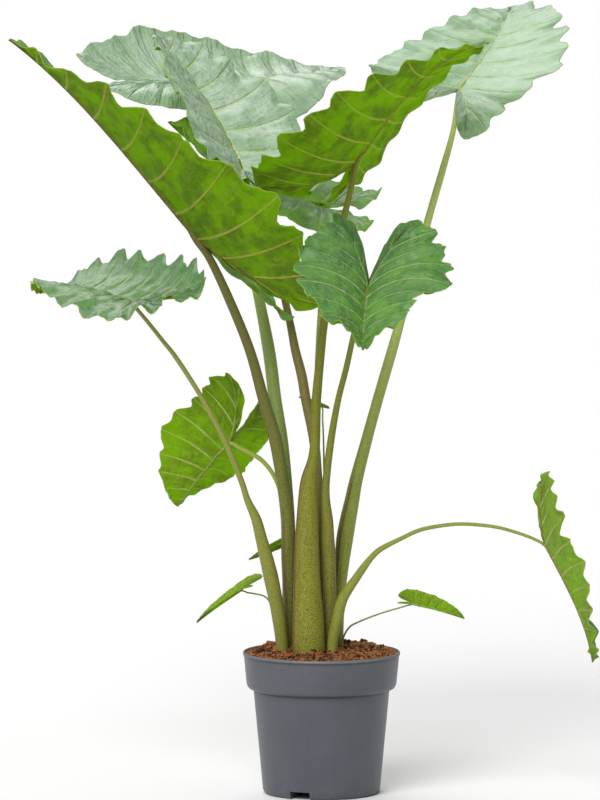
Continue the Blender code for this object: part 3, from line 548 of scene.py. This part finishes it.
        joint=(-0.057, 0.022, 0.433), heading=176, pitch=-26, roll=65, bend=0, sweep=0,
        fold=(20, 20), cup=(0, 0), lobeBend=0, length=0.076, width=0.36, lobe=0.25, taper=0,
        stalk=((-0.046, 0.027, 0.258, 0.0017), (-0.048, 0.025, 0.33, 0.0017),
               (-0.051, 0.023, 0.4, 0.0015))),
    "new_shoot": dict(
        joint=(0.001, 0.095, 0.658), heading=180, pitch=23, roll=0, bend=0, sweep=0,
        fold=(30, 30), cup=(0, 0), lobeBend=0, length=0.044, width=0.6, lobe=0.6, taper=0,
        stalk=((0.008, 0.054, 0.255, 0.0019), (0.006, 0.073, 0.43, 0.0019), (0.004, 0.09, 0.584, 0.0017),
               (0.002, 0.095, 0.635, 0.0015))),
}

# what the blades share: lengths in metres, widths as shares of the blade's length; between and across
# are the places of the points between two veins and from the rib to the margin
leafShape = dict(
    halfWidth=0.35, lobeLength=0.5, behind=1.1, lobeTip=10, bow=0.15, bowEnd=8.5, bowFade=3.5,
    midribSteps=40, lobeSteps=13, thickness=0.0011, veinHeight=0.0014, veinWidth=0.0028,
    between=(0, 0.03, 0.07, 0.13, 0.21, 0.31, 0.41, 0.5, 0.59, 0.69, 0.79, 0.87, 0.93, 0.97),
    across=(0, 0.012, 0.028, 0.05, 0.08, 0.12, 0.165, 0.21, 0.26, 0.31, 0.36, 0.41, 0.46, 0.51, 0.56, 0.61,
            0.66, 0.71, 0.76, 0.81, 0.855, 0.895, 0.93, 0.96, 0.982, 1),
)


def curveThrough(a, b, c, d, t):
    # a point between b and c on a smooth curve through all four
    return 0.5 * (2 * b + (c - a) * t + (2 * a - 5 * b + 4 * c - d) * t ** 2
                  + (3 * b - a - 3 * c + d) * t ** 3)


def turned(vectors, angle, axis):
    # the vectors turned round a unit axis
    along = axis * (vectors @ axis)[..., None]
    return vectors * cos(angle) + np.cross(axis, vectors) * sin(angle) + along * (1 - cos(angle))


def bladeAxes(leaf):
    # at the joint: towards the tip, towards the right half, and out of the upper side
    heading, pitch, roll = (radians(leaf[key]) for key in ("heading", "pitch", "roll"))
    forward = np.array([cos(pitch) * cos(heading), cos(pitch) * sin(heading), sin(pitch)])
    level = np.array([0, 0, 1]) - forward * sin(pitch)
    level = level / np.linalg.norm(level)
    normal = level * cos(roll) + np.cross(forward, level) * sin(roll)
    return forward, np.cross(forward, normal), normal


def midribFrames(leaf):
    # distance, place and axes at stations from behind the joint to the tip
    steps, lobeSteps, length = leafShape["midribSteps"], leafShape["lobeSteps"], leaf["length"]
    behind = leafShape["behind"] * leafShape["lobeLength"] * leaf["lobe"] * length
    start = np.array(bladeAxes(leaf))
    stations = [(0, np.array(leaf["joint"]), start)]
    place, axes = stations[0][1], start
    for i in range(steps):
        share = (i + 0.5) / steps
        axes = turned(axes, -radians(leaf["bend"]) * 2 * share / steps, axes[1])
        axes = turned(axes, -radians(leaf["sweep"]) / steps, axes[2])
        place = place + axes[0] * length / steps
        stations.append(((i + 1) * length / steps, place, axes))
    place, axes = stations[0][1], start
    for i in range(lobeSteps):
        axes = turned(axes, radians(leaf["lobeBend"]) / lobeSteps, axes[1])
        place = place - axes[0] * behind / lobeSteps
        stations.insert(0, (-(i + 1) * behind / lobeSteps, place, axes))
    distances, places, frames = zip(*stations)
    return np.array(distances), np.array(places), np.array(frames)


def veinBefore(rows):
    # the number of the vein before each row, and how far the row is towards the next one
    before = np.minimum(rows.astype(int), len(veinEnds) - 2)
    return before, rows - before


def halfOutline(leaf, look, side, seed):
    # each row of a half blade laid flat: its number, its start on a rib, its end on the margin, and how
    # uneven it is, coarsely and finely
    last = len(veinEnds) - 1
    starts, ends = veinStarts.astype(float), veinEnds.astype(float)
    reach = leaf.get("reach", (None, None))[(side + 1) // 2] or (1,) * (last - 1)
    ends = starts + (ends - starts) * np.array([1, *reach, 1])[:, None]
    for line in (starts, ends):
        line[:, 0] *= leaf["width"] * (1 - leaf["taper"] * np.clip(line[:, 1], 0, 1))
        line[:, 1] *= np.where(line[:, 1] < 0, leaf["lobe"], 1)
    rows = np.array([k + share for k in range(last) for share in leafShape["between"]] + [last])
    rib = np.stack([np.interp(rows, np.arange(last + 1), starts[:, k]) for k in (0, 1)], 1)
    before, share = veinBefore(rows)
    around = [ends[np.clip(before + k, 0, last)] for k in (-1, 0, 1, 2)]
    margin = curveThrough(*around, share[:, None])
    uneven = np.array([noise.noise(Vector((row * 0.9, seed * 3.1 + side, 5))) for row in rows])
    nibble = np.array([noise.noise(Vector((row * 2.3, seed * 5.7 + side, 0)))
                       + 0.7 * noise.noise(Vector((row * 5.1, seed * 5.7 + side, 3))) for row in rows])
    fade = np.clip(np.minimum(rows, (last - rows) / 2), 0, 1)
    notch = look["notch"] * ((1 - np.cos(tau * share)) / 2) ** 1.4 * fade
    notch = notch * (0.35 + 2.8 * np.abs(uneven))
    margin = rib + (margin - rib) * (1 - notch + look["nibble"] * nibble * fade)[:, None]
    return rows, rib, margin, uneven, nibble


def halfBlade(leaf, look, side, seed):
    # a half blade as a grid of points, one row along each vein and several between, with what the
    # finish needs to know at each point
    rows, rib, margin, uneven, nibble = halfOutline(leaf, look, side, seed)
    before, share = veinBefore(rows)
    reach = np.linalg.norm(margin - rib, axis=1)
    bow = leafShape["bow"] * reach * np.clip(rows, 0, 1)
    bow = bow * np.clip((leafShape["bowEnd"] - rows) / leafShape["bowFade"], 0, 1)
    bend = (rib + margin) / 2 - np.stack([0 * bow, bow], 1)
    across = np.array(leafShape["across"])[None, :, None]
    flat = (1 - across) ** 2 * rib[:, None] + 2 * across * (1 - across) * bend[:, None]
    flat = (flat + across ** 2 * margin[:, None]) * leaf["length"]
    across = across[..., 0] + 0 * flat[..., 0]

    # how far the neighbouring veins are apart, and each point's distances from what it lies beside
    rowsApart = len(leafShape["between"])
    gaps = np.linalg.norm(np.diff(flat[::rowsApart], axis=0), axis=2)[before]
    vein = np.minimum(share, 1 - share)[:, None] * gaps
    between = np.abs(share - 0.5)[:, None] * gaps
    out, along = flat[..., 0], flat[..., 1]
    lobeRib = rib[leafShape["lobeTip"] * rowsApart] * leaf["length"]
    lobeSpan = np.linalg.norm(lobeRib)
    beside = np.abs(out * lobeRib[1] - along * lobeRib[0]) / lobeSpan
    onLobe = np.clip((out * lobeRib[0] + along * lobeRib[1]) / lobeSpan, 0, None)
    beside = np.hypot(beside, np.clip(onLobe - lobeSpan, 0, None))
    tipward = np.clip(along / leaf["length"], 0, 1)
    midrib = np.maximum(look["rib"] * (1 - 0.82 * tipward), 0.0006)
    lobeWidth = np.maximum(look["rib"] * 0.62 * (1 - 0.85 * np.clip(onLobe / lobeSpan, 0, 1)), 0.0005)
    onMidrib = np.where(along > -0.002, out / midrib, 9)
    onLobes = np.where(along < 0.004, beside / lobeWidth, 9)
    ribShare = np.minimum(onMidrib, onLobes)  # under 1 on a rib
    ribWidth = np.where(onMidrib < onLobes, midrib, lobeWidth)

    # the flat half is carried by the bent midrib, folded, cupped and waved
    distances, places, frames = midribFrames(leaf)
    place, sideways, normal = (
        np.stack([np.interp(along, distances, values[:, k]) for k in range(3)], -1)
        for values in (places, frames[:, 1], frames[:, 2]))
    fold = radians(leaf["fold"][(side + 1) // 2])
    cup = radians(leaf["cup"][(side + 1) // 2]) or 0.0001
    curl = cup / (leafShape["halfWidth"] * leaf["width"] * leaf["length"])
    spread = (np.sin(fold + curl * out) - sin(fold)) / curl
    rise = (cos(fold) - np.cos(fold + curl * out)) / curl
    waves = look["even"] * np.cos(tau * rows) + 2.4 * uneven + 0.3 * nibble
    waves = waves * np.clip(np.minimum(rows, rows[-1] - rows), 0, 1)
    rise = rise + look["wave"] * leaf["length"] * across ** 2 * waves[:, None]
    dome = 1 - np.abs(2 * share - 1)[:, None] ** 1.6
    dome = dome * np.clip(across * 5, 0, 1) * np.clip((1.02 - across) * 5, 0.25, 1)
    rise = rise + look["quilt"] * gaps * dome
    grid = place + side * sideways * spread[..., None] + normal * rise[..., None]
    small = [noise.noise(Vector(p) * 55) + 0.5 * noise.noise(Vector(p) * 130) for p in grid.reshape(-1, 3)]
    fadeIn = np.clip(vein / 0.004, 0, 1) * np.clip(ribShare - 1, 0, 1)
    grid = grid + normal * (look["crinkle"] * np.reshape(small, out.shape) * fadeIn)[..., None]
    edge = (1 - across) * reach[:, None] * leaf["length"]
    row = rows[:, None] + 0 * out + 20 * (side > 0)
    return grid, dict(vein=vein, between=between, ribShare=np.minimum(ribShare, 6), ribWidth=ribWidth,
                      edge=edge, across=across, row=row)


def makeBlade(name, leaf, look, seed):
    # both halves joined, given a thickness, with veins and ribs that stand out below
    points, faces, facts = [], [], {}
    for side in (-1, 1):
        grid, known = halfBlade(leaf, look, side, seed)
        rowCount, columns = grid.shape[:2]
        start = len(points) * rowCount * columns
        points.append(grid.reshape(-1, 3))
        for key, values in known.items():
            facts.setdefault(key, []).append(values.ravel())
        for i in range(rowCount - 1):
            for j in range(columns - 1):
                corner = start + i * columns + j
                face = (corner, corner + columns, corner + columns + 1, corner + 1)
                faces.append(face if side > 0 else face[::-1])
    facts = {key: np.concatenate(values) for key, values in facts.items()}
    piece = meshPiece(name, np.vstack(points), faces, **facts)
    openForEditing(piece)
    bpy.ops.mesh.remove_doubles(threshold=0.000004)
    bpy.ops.mesh.dissolve_degenerate(threshold=0.0000004)
    bpy.ops.object.mode_set(mode="OBJECT")
    sheet = len(piece.data.vertices)
    normals = np.array([v.normal for v in piece.data.vertices])
    applied(piece, "SOLIDIFY", thickness=leafShape["thickness"], offset=-1, use_rim=True)
    mesh = piece.data

    def read(key):
        values = np.empty(len(mesh.vertices), np.float32)
        mesh.attributes[key].data.foreach_get("value", values)
        return values

    # the upper side's veins are sunk a little; its points come before the lower side's
    rim, across = read("ribShare"), read("across")
    width = leafShape["veinWidth"] * look["veins"] * (1 - 0.55 * across)
    veinBump = np.clip(1 - (read("vein") / width) ** 2, 0, 1)
    low = leafShape["veinHeight"] * look["veins"] * (1 - 0.75 * across) * veinBump
    ribBump = read("ribWidth") * np.sqrt(np.clip(1 - rim ** 2, 0, 1))
    shift = -np.maximum(low, ribBump)
    shift[:sheet] = -0.25 * low[:sheet]
    under = np.ones(len(mesh.vertices), np.float32)
    under[:sheet] = 0
    places = np.empty(len(mesh.vertices) * 3, np.float32)
    mesh.vertices.foreach_get("co", places)
    places = places.reshape(-1, 3) + np.vstack([normals, normals]) * shift[:, None]
    mesh.vertices.foreach_set("co", places.ravel())
    stored = mesh.attributes.new("under", "FLOAT", "POINT")
    stored.data.foreach_set("value", under)
    mesh.update()
    for polygon in mesh.polygons:
        polygon.use_smooth = True
    return piece


def bladeFinish(name, look, seed):
    blade = Finish(name)
    vein, between, rib, edge = (blade.attribute(key) for key in ("vein", "between", "ribShare", "edge"))
    across, row, under = (blade.attribute(key) for key in ("across", "row", "under"))
    thin = 1 - across * 0.6
    fromVein = vein / thin

    # lines: ribs, side veins, the lesser veins between them, and a fine net
    ribs = 1 - blade.step(rib, 0.75, 1.15)
    veins = 1 - blade.step(fromVein, 0.0009 * look["veins"], 0.0030 * look["veins"])
    lesser = (1 - blade.step(between / thin, 0.0002, 0.0017)) * blade.step(across, 0.25, 0.5)
    netAt = blade.grid(row * 4.2, across * 9.0, seed * 3.0)
    nearest = dict(feature="DISTANCE_TO_EDGE")
    net = blade.node("ShaderNodeTexVoronoi", nearest, {"Vector": netAt, "Scale": 1.0})
    net = 1 - blade.step(net, 0.0, 0.11)

    # puckers: creases run along the veins and the ladder runs from vein to vein
    creases = blade.noise(1.0, 3, 0.6, blade.grid(row * 3.4, across * 1.7, seed * 5.0))
    ladder = blade.noise(1.0, 3, 0.55, blade.grid(row * 1.9, across * 9.5, seed * 7.0))
    # painted shade: a darker band beside each vein, where the creases lie in shade
    creaseShade = 1 - blade.step(fromVein, 0.0, 0.010)
    cloud, mottle = blade.noise(13, 3, 0.55), blade.noise(95, 3, 0.6)
    mottled = blade.step(mottle, 0.35, 0.75)
    # patches: random darker patches, partly mottling and partly painted shade from the leaves above
    patches = blade.step(cloud * 0.5 + blade.noise(34, 4, 0.6) * 0.5, 0.42, 0.60)

    # the upper side, with a waxy bloom and a painted sheen laid over it
    # darker in the random patches and in the painted crease shade beside the veins
    top = blade.mix(patches * 0.55 + creaseShade * 0.45, look["top"], look["topDark"])
    top = blade.mix(mottled * 0.18, top, look["topVein"])
    # painted sheen: a pale layer over the upper side, stronger where this mask is high, partly the wax
    # bloom itself
    waxySheen = blade.step(creases * 0.35 + ladder * 0.25 + cloud * 0.4, 0.40, 0.60)
    top = blade.mix(look["bloomAndSheen"] * (0.45 + waxySheen * 0.65), top, look["topPaleSheen"])
    topLines = veins * 0.8 + lesser * 0.3 + net * 0.10
    top = blade.mix(topLines * look["showVeins"], top, look["topVein"])
    top = blade.mix((1 - blade.step(edge, 0.0, 0.05)) * 0.35, top, look["top"])
    top = blade.mix(ribs * 0.9, top, look["topVein"])

    # the lower side
    # the lower side gets a little of the painted crease shade too
    low = blade.mix(patches * 0.75 + creaseShade * 0.1, look["low"], look["lowDark"])
    low = blade.mix(blade.step(creases, 0.5, 0.7) * 0.35, low, look["lowBright"])
    low = blade.mix(mottled * 0.15, low, look["lowVein"])
    low = blade.mix(veins * 0.9 + lesser * 0.35 + net * 0.16, low, look["lowVein"])
    low = blade.mix(ribs, low, look["lowRib"])

    colour = blade.mix(under, top, low)
    rimLine = 1 - blade.step(edge, 0.0004, 0.0016)
    colour = blade.mix(rimLine * 0.75, colour, look["edge"])
    rough = 0.45 + under * 0.2 + mottle * 0.10 + veins * 0.05
    blade.set(Base_Color=colour, Roughness=rough, Coat_Weight=look["coat"] * (1 - under),
              Coat_Roughness=0.30, Coat_IOR=1.5, Specular_IOR_Level=0.12)
    folds = creases * look["creases"] + ladder * look["ladder"] - veins * 0.25 * (1 - under)
    blade.bump(folds + mottle * 0.22 + blade.noise(420, 3, 0.6) * 0.08 - net * 0.07, 0.006, 1.0)

    # light that comes through, less at the veins
    glow = blade.node("ShaderNodeBsdfTranslucent", None, {"Color": look["glow"]})
    shut = blade.step(veins * 0.5 + ribs, 0.1, 1.0)
    # less light comes through in the random patches, as painted shade from the leaves above
    share = (look["clear"] + under * look["clearUnder"]) * (1 - shut * 0.6) * (1.12 - patches * 0.55)
    surface = Wire(blade, blade.shader.outputs[0])
    both = blade.node("ShaderNodeMixShader", None, {0: share, 1: surface, 2: glow})
    blade.fill(blade.tree.nodes["Material Output"].inputs["Surface"], both)
    return blade.material


# how the blades look: most are a cool waxy green above and a bright yellow-green below. notch, nibble,
# wave and even shape the margin, quilt and crinkle the skin between the veins; rib is the midrib's
# half width; clear is the share of light that comes through
plainBlade = dict(
    notch=0.07, nibble=0.04, wave=0.018, even=0.8, quilt=0.07, crinkle=0.002, rib=0.0036, veins=1,
    top=(0.07, 0.235, 0.06, 1), topDark=(0.02, 0.11, 0.014, 1), topPaleSheen=(0.7, 0.84, 0.7, 1),
    topVein=(0.46, 0.62, 0.24, 1), bloomAndSheen=0.1, showVeins=0.9, coat=0.55, creases=1.5, ladder=1.2,
    low=(0.165, 0.285, 0.001, 1), lowDark=(0.05, 0.145, 0.001, 1), lowBright=(0.3, 0.42, 0.006, 1),
    lowVein=(0.46, 0.46, 0.075, 1), lowRib=(0.31, 0.27, 0.055, 1), edge=(0.42, 0.56, 0.1, 1),
    glow=(0.62, 0.92, 0.005, 1), clear=0.34, clearUnder=0.26,
)
# paler upper-side greens for the leaves that catch the most sheen, partly painted sheen
sheenPaleTop = dict(top=(0.24, 0.42, 0.24, 1), topDark=(0.13, 0.3, 0.13, 1))
tinyLeaf = dict(rib=0.001, veins=0.5, notch=0, wave=0, crinkle=0.0002)
youngLeaf = dict(tinyLeaf, rib=0.0012, wave=0.004, crinkle=0.0003, bloomAndSheen=0, coat=0.2, showVeins=0.3,
                 top=(0.36, 0.58, 0.006, 1), topDark=(0.26, 0.46, 0.004, 1), topVein=(0.38, 0.55, 0.06, 1),
                 low=(0.23, 0.42, 0.008, 1))
bladeLooks = {
    "left_large": dict(rib=0.006, veins=1.35, lowRib=(0.19, 0.14, 0.045, 1),
                       lowVein=(0.46, 0.37, 0.1, 1)),
    "back_wide": dict(sheenPaleTop, bloomAndSheen=0.56, coat=1, ladder=0.35, creases=2.2, rib=0.005, clear=0.12,
                      notch=0.03, nibble=0.02, wave=0.007, quilt=0.11),
    "centre_upright": dict(sheenPaleTop, bloomAndSheen=0.62, coat=1, ladder=1.1, creases=2, rib=0.0042, clear=0.2,
                           veins=1.2, showVeins=1, topVein=(0.56, 0.7, 0.26, 1), quilt=0.12),
    "right_arching": dict(rib=0.0045, veins=1.15),
    "front_heart": dict(bloomAndSheen=0.05, coat=0.35, ladder=1.3, creases=1.6, rib=0.0038, clear=0.3, veins=1.25,
                        showVeins=1, top=(0.11, 0.3, 0.085, 1), topDark=(0.028, 0.14, 0.02, 1),
                        notch=0.085, nibble=0.075, wave=0.035, even=0.7, quilt=0.11, crinkle=0.0034),
    "right_high": dict(sheenPaleTop, bloomAndSheen=0.36, coat=0.9, ladder=0.7, creases=1.8, rib=0.0042, clear=0.16),
    "back_low": dict(bloomAndSheen=0.22, ladder=1, creases=2, top=(0.11, 0.33, 0.06, 1), quilt=0.06),
    "left_small": dict(bloomAndSheen=0.22, coat=0.9, top=(0.055, 0.2, 0.06, 1), rib=0.003, clear=0.2,
                       notch=0.045, nibble=0.05, wave=0.038, quilt=0.11, crinkle=0.0035),
    # its lower side gets brighter, yellower colours than the others': painted backlight, on top of the
    # light that comes through
    "left_backlit": dict(rib=0.003, low=(0.3, 0.46, 0.006, 1), lowDark=(0.15, 0.3, 0.003, 1),
                         lowVein=(0.55, 0.6, 0.18, 1), lowRib=(0.5, 0.52, 0.16, 1), clear=0.4),
    "right_drooping": dict(rib=0.0024, bloomAndSheen=0.2, low=(0.4, 0.52, 0.1, 1), lowDark=(0.24, 0.38, 0.05, 1),
                           lowVein=(0.52, 0.58, 0.2, 1), notch=0.045, wave=0.024),
    "right_seedling": youngLeaf,
    "left_seedling": youngLeaf,
    "inner_seedling": tinyLeaf,
    "new_shoot": tinyLeaf,
}

for seed, (name, leaf) in enumerate(leaves.items()):
    look = dict(plainBlade, **bladeLooks[name])
    piece = makeBlade("leaf_" + name, leaf, look, seed)
    finished(piece, bladeFinish("leaf_green_" + name, look, seed), "blade_" + name, slot="leaf_blade")
print("blades ready")


# stalks: fleshy, tapering, with an open sheath on the lower part whose thin edge shows as a line;
# opening is where round the stalk that edge is, in degrees, and change holds the heights between which
# the colour goes from low to high
plainStalk = dict(
    sides=56, spacing=0.006, footHeight=0.232, footFlare=1.06, tuck=0.022, groove=0.075, ridge=0.035,
    sheathTop=0.45, sheathFade=0.03, opening=200, line=0.6, specks=0.95, change=(0.35, 0.75),
    low=(0.26, 0.26, 0.03, 1), high=(0.3, 0.34, 0.06, 1), speck=(0.07, 0.075, 0.018, 1),
    edge=(0.16, 0.045, 0.04, 1),
)
stalkLooks = {
    "left_large": dict(low=(0.2, 0.215, 0.038, 1), high=(0.14, 0.135, 0.03, 1), sheathTop=0.5,
                       opening=235, change=(0.45, 0.8)),
    "back_wide": dict(low=(0.22, 0.3, 0.06, 1), high=(0.33, 0.44, 0.12, 1), sheathTop=0.42,
                      specks=0.8),
    "centre_upright": dict(low=(0.21, 0.19, 0.045, 1), high=(0.22, 0.18, 0.05, 1), sheathTop=0.5),
    "right_arching": dict(low=(0.29, 0.29, 0.03, 1), high=(0.2, 0.21, 0.022, 1), sheathTop=0.59,
                          opening=205, line=0.85),
    "front_heart": dict(low=(0.24, 0.24, 0.035, 1), high=(0.21, 0.23, 0.03, 1), sheathTop=0.52,
                        opening=-30),
    "right_high": dict(low=(0.27, 0.31, 0.05, 1), high=(0.43, 0.52, 0.15, 1), sheathTop=0.55,
                       opening=240, line=0.85, change=(0.4, 1), specks=0.55),
    "back_low": dict(sheathTop=0.3),
    "left_small": dict(low=(0.25, 0.26, 0.04, 1), high=(0.28, 0.31, 0.07, 1), sheathTop=0.5,
                       opening=-20, line=0.8, specks=0.55),
    "left_backlit": dict(low=(0.26, 0.31, 0.06, 1), high=(0.37, 0.45, 0.07, 1), sheathTop=0.27,
                         specks=0.3),
    "right_drooping": dict(low=(0.27, 0.29, 0.045, 1), high=(0.36, 0.42, 0.08, 1), sheathTop=0.425,
                           opening=150, line=0.7, specks=0.5),
}
thinStalk = dict(low=(0.23, 0.3, 0.06, 1), high=(0.28, 0.4, 0.06, 1), sheathTop=0.25,
                 specks=0.2, sides=16)


def smoothRoute(points, spacing):
    # a smooth curve through the points, in steps of about the spacing
    points = np.array(points, float)
    padded = np.vstack([2 * points[0] - points[1], points, 2 * points[-1] - points[-2]])
    route = []
    for a, b, c, d in zip(padded, padded[1:], padded[2:], padded[3:]):
        count = max(1, round(float(np.linalg.norm((c - b)[:3])) / spacing))
        route += [curveThrough(a, b, c, d, t) for t in np.arange(count) / count]
    return np.array(route + [points[-1]])


def makeStalk(name, leaf, look):
    # from the soil to the joint, and on a little way under the midrib
    forward, right, normal = bladeAxes(leaf)
    lean = radians(leaf["fold"][1] - leaf["fold"][0]) / 2
    normal = normal * cos(lean) - right * sin(lean)
    joint, radius = np.array(leaf["joint"]), leaf["stalk"][-1][3]
    x, y, _, footRadius = leaf["stalk"][0]
    foot = (x, y, look["footHeight"], footRadius * look["footFlare"])
    lead = (*(joint - normal * radius * 0.75), radius * 0.95)
    end = (*(joint + forward * look["tuck"] - normal * radius * 0.25), radius * 0.75)
    route = smoothRoute([foot, *leaf["stalk"], lead, end], look["spacing"])
    sides = look["sides"]
    heading = np.gradient(route[:, :3], axis=0)
    heading /= np.linalg.norm(heading, axis=1)[:, None]
    across = np.cross(heading[0], (0, 1, 0))
    across /= np.linalg.norm(across)
    angles = np.arange(sides) / sides * tau
    opening = radians(look["opening"] - 180)
    off = (angles - opening + tau / 2) % tau - tau / 2  # angle from the sheath's edge
    line = np.exp(-(off / 0.15) ** 2)
    groove = np.exp(-((off - 0.30) / 0.17) ** 2)
    points, seams = [], []
    for place, ahead in zip(route, heading):
        across = across - ahead * (across @ ahead)
        across /= np.linalg.norm(across)
        back = np.cross(ahead, across)
        sheath = np.clip((look["sheathTop"] - place[2]) / look["sheathFade"], 0, 1)
        size = place[3] * (1 + sheath * (look["ridge"] * line - look["groove"] * groove))
        size = size * (1 - 0.03 * np.cos(2 * angles))
        points.append(place[:3] + size[:, None] * (np.cos(angles)[:, None] * across
                                                   + np.sin(angles)[:, None] * back))
        seams.append(line * sheath)
    rings = len(points)
    faces = [(i * sides + j, i * sides + (j + 1) % sides, (i + 1) * sides + (j + 1) % sides,
              (i + 1) * sides + j) for i in range(rings - 1) for j in range(sides)]
    faces += [tuple(reversed(range(sides))), tuple(range((rings - 1) * sides, rings * sides))]
    piece = meshPiece(name, np.vstack(points), faces, seam=np.concatenate(seams))
    openForEditing(piece)
    bpy.ops.mesh.normals_make_consistent(inside=False)
    bpy.ops.object.mode_set(mode="OBJECT")
    for polygon in piece.data.polygons:
        polygon.use_smooth = len(polygon.vertices) == 4
    return piece


def stalkFinish(name, look):
    stalk = Finish(name)
    level = stalk.upward()
    colour = stalk.mix(stalk.step(level, *look["change"]), look["low"], look["high"])
    streaks = stalk.noise(190, 3, 0.6, stretch=(1, 1, 0.05))
    colour = stalk.mix(stalk.step(streaks, 0.35, 0.75) * 0.30, colour, look["high"])
    fine = stalk.noise(760, 2, 0.75, stretch=(1, 1, 0.6))
    lower = 1 - stalk.step(level, 0.30, 0.85)
    flecks = stalk.step(fine, 0.46, 0.60) * (lower * 0.5 + 0.5) * look["specks"]
    colour = stalk.mix(flecks, colour, look["speck"])
    pale = stalk.step(stalk.noise(700, 2, 0.6, stretch=(1, 1, 0.5)), 0.62, 0.75) * lower * 0.6
    colour = stalk.mix(pale, colour, look["high"])
    colour = stalk.mix(stalk.attribute("seam") * look["line"], colour, look["edge"])
    stalk.set(Base_Color=colour, Roughness=stalk.step(fine, 0.3, 0.7) * 0.12 + 0.42,
              Coat_Weight=0.12, Coat_Roughness=0.3, Specular_IOR_Level=0.15)
    stalk.bump(streaks + fine * 0.4, 0.0006, 0.7)
    return stalk.material


for name, leaf in leaves.items():
    look = dict(plainStalk, **stalkLooks.get(name, thinStalk))
    piece = makeStalk("petiole_" + name, leaf, look)
    finished(piece, stalkFinish("stalk_green_" + name, look), "stalk_" + name, slot="leaf_stalk")
print("stalks ready")
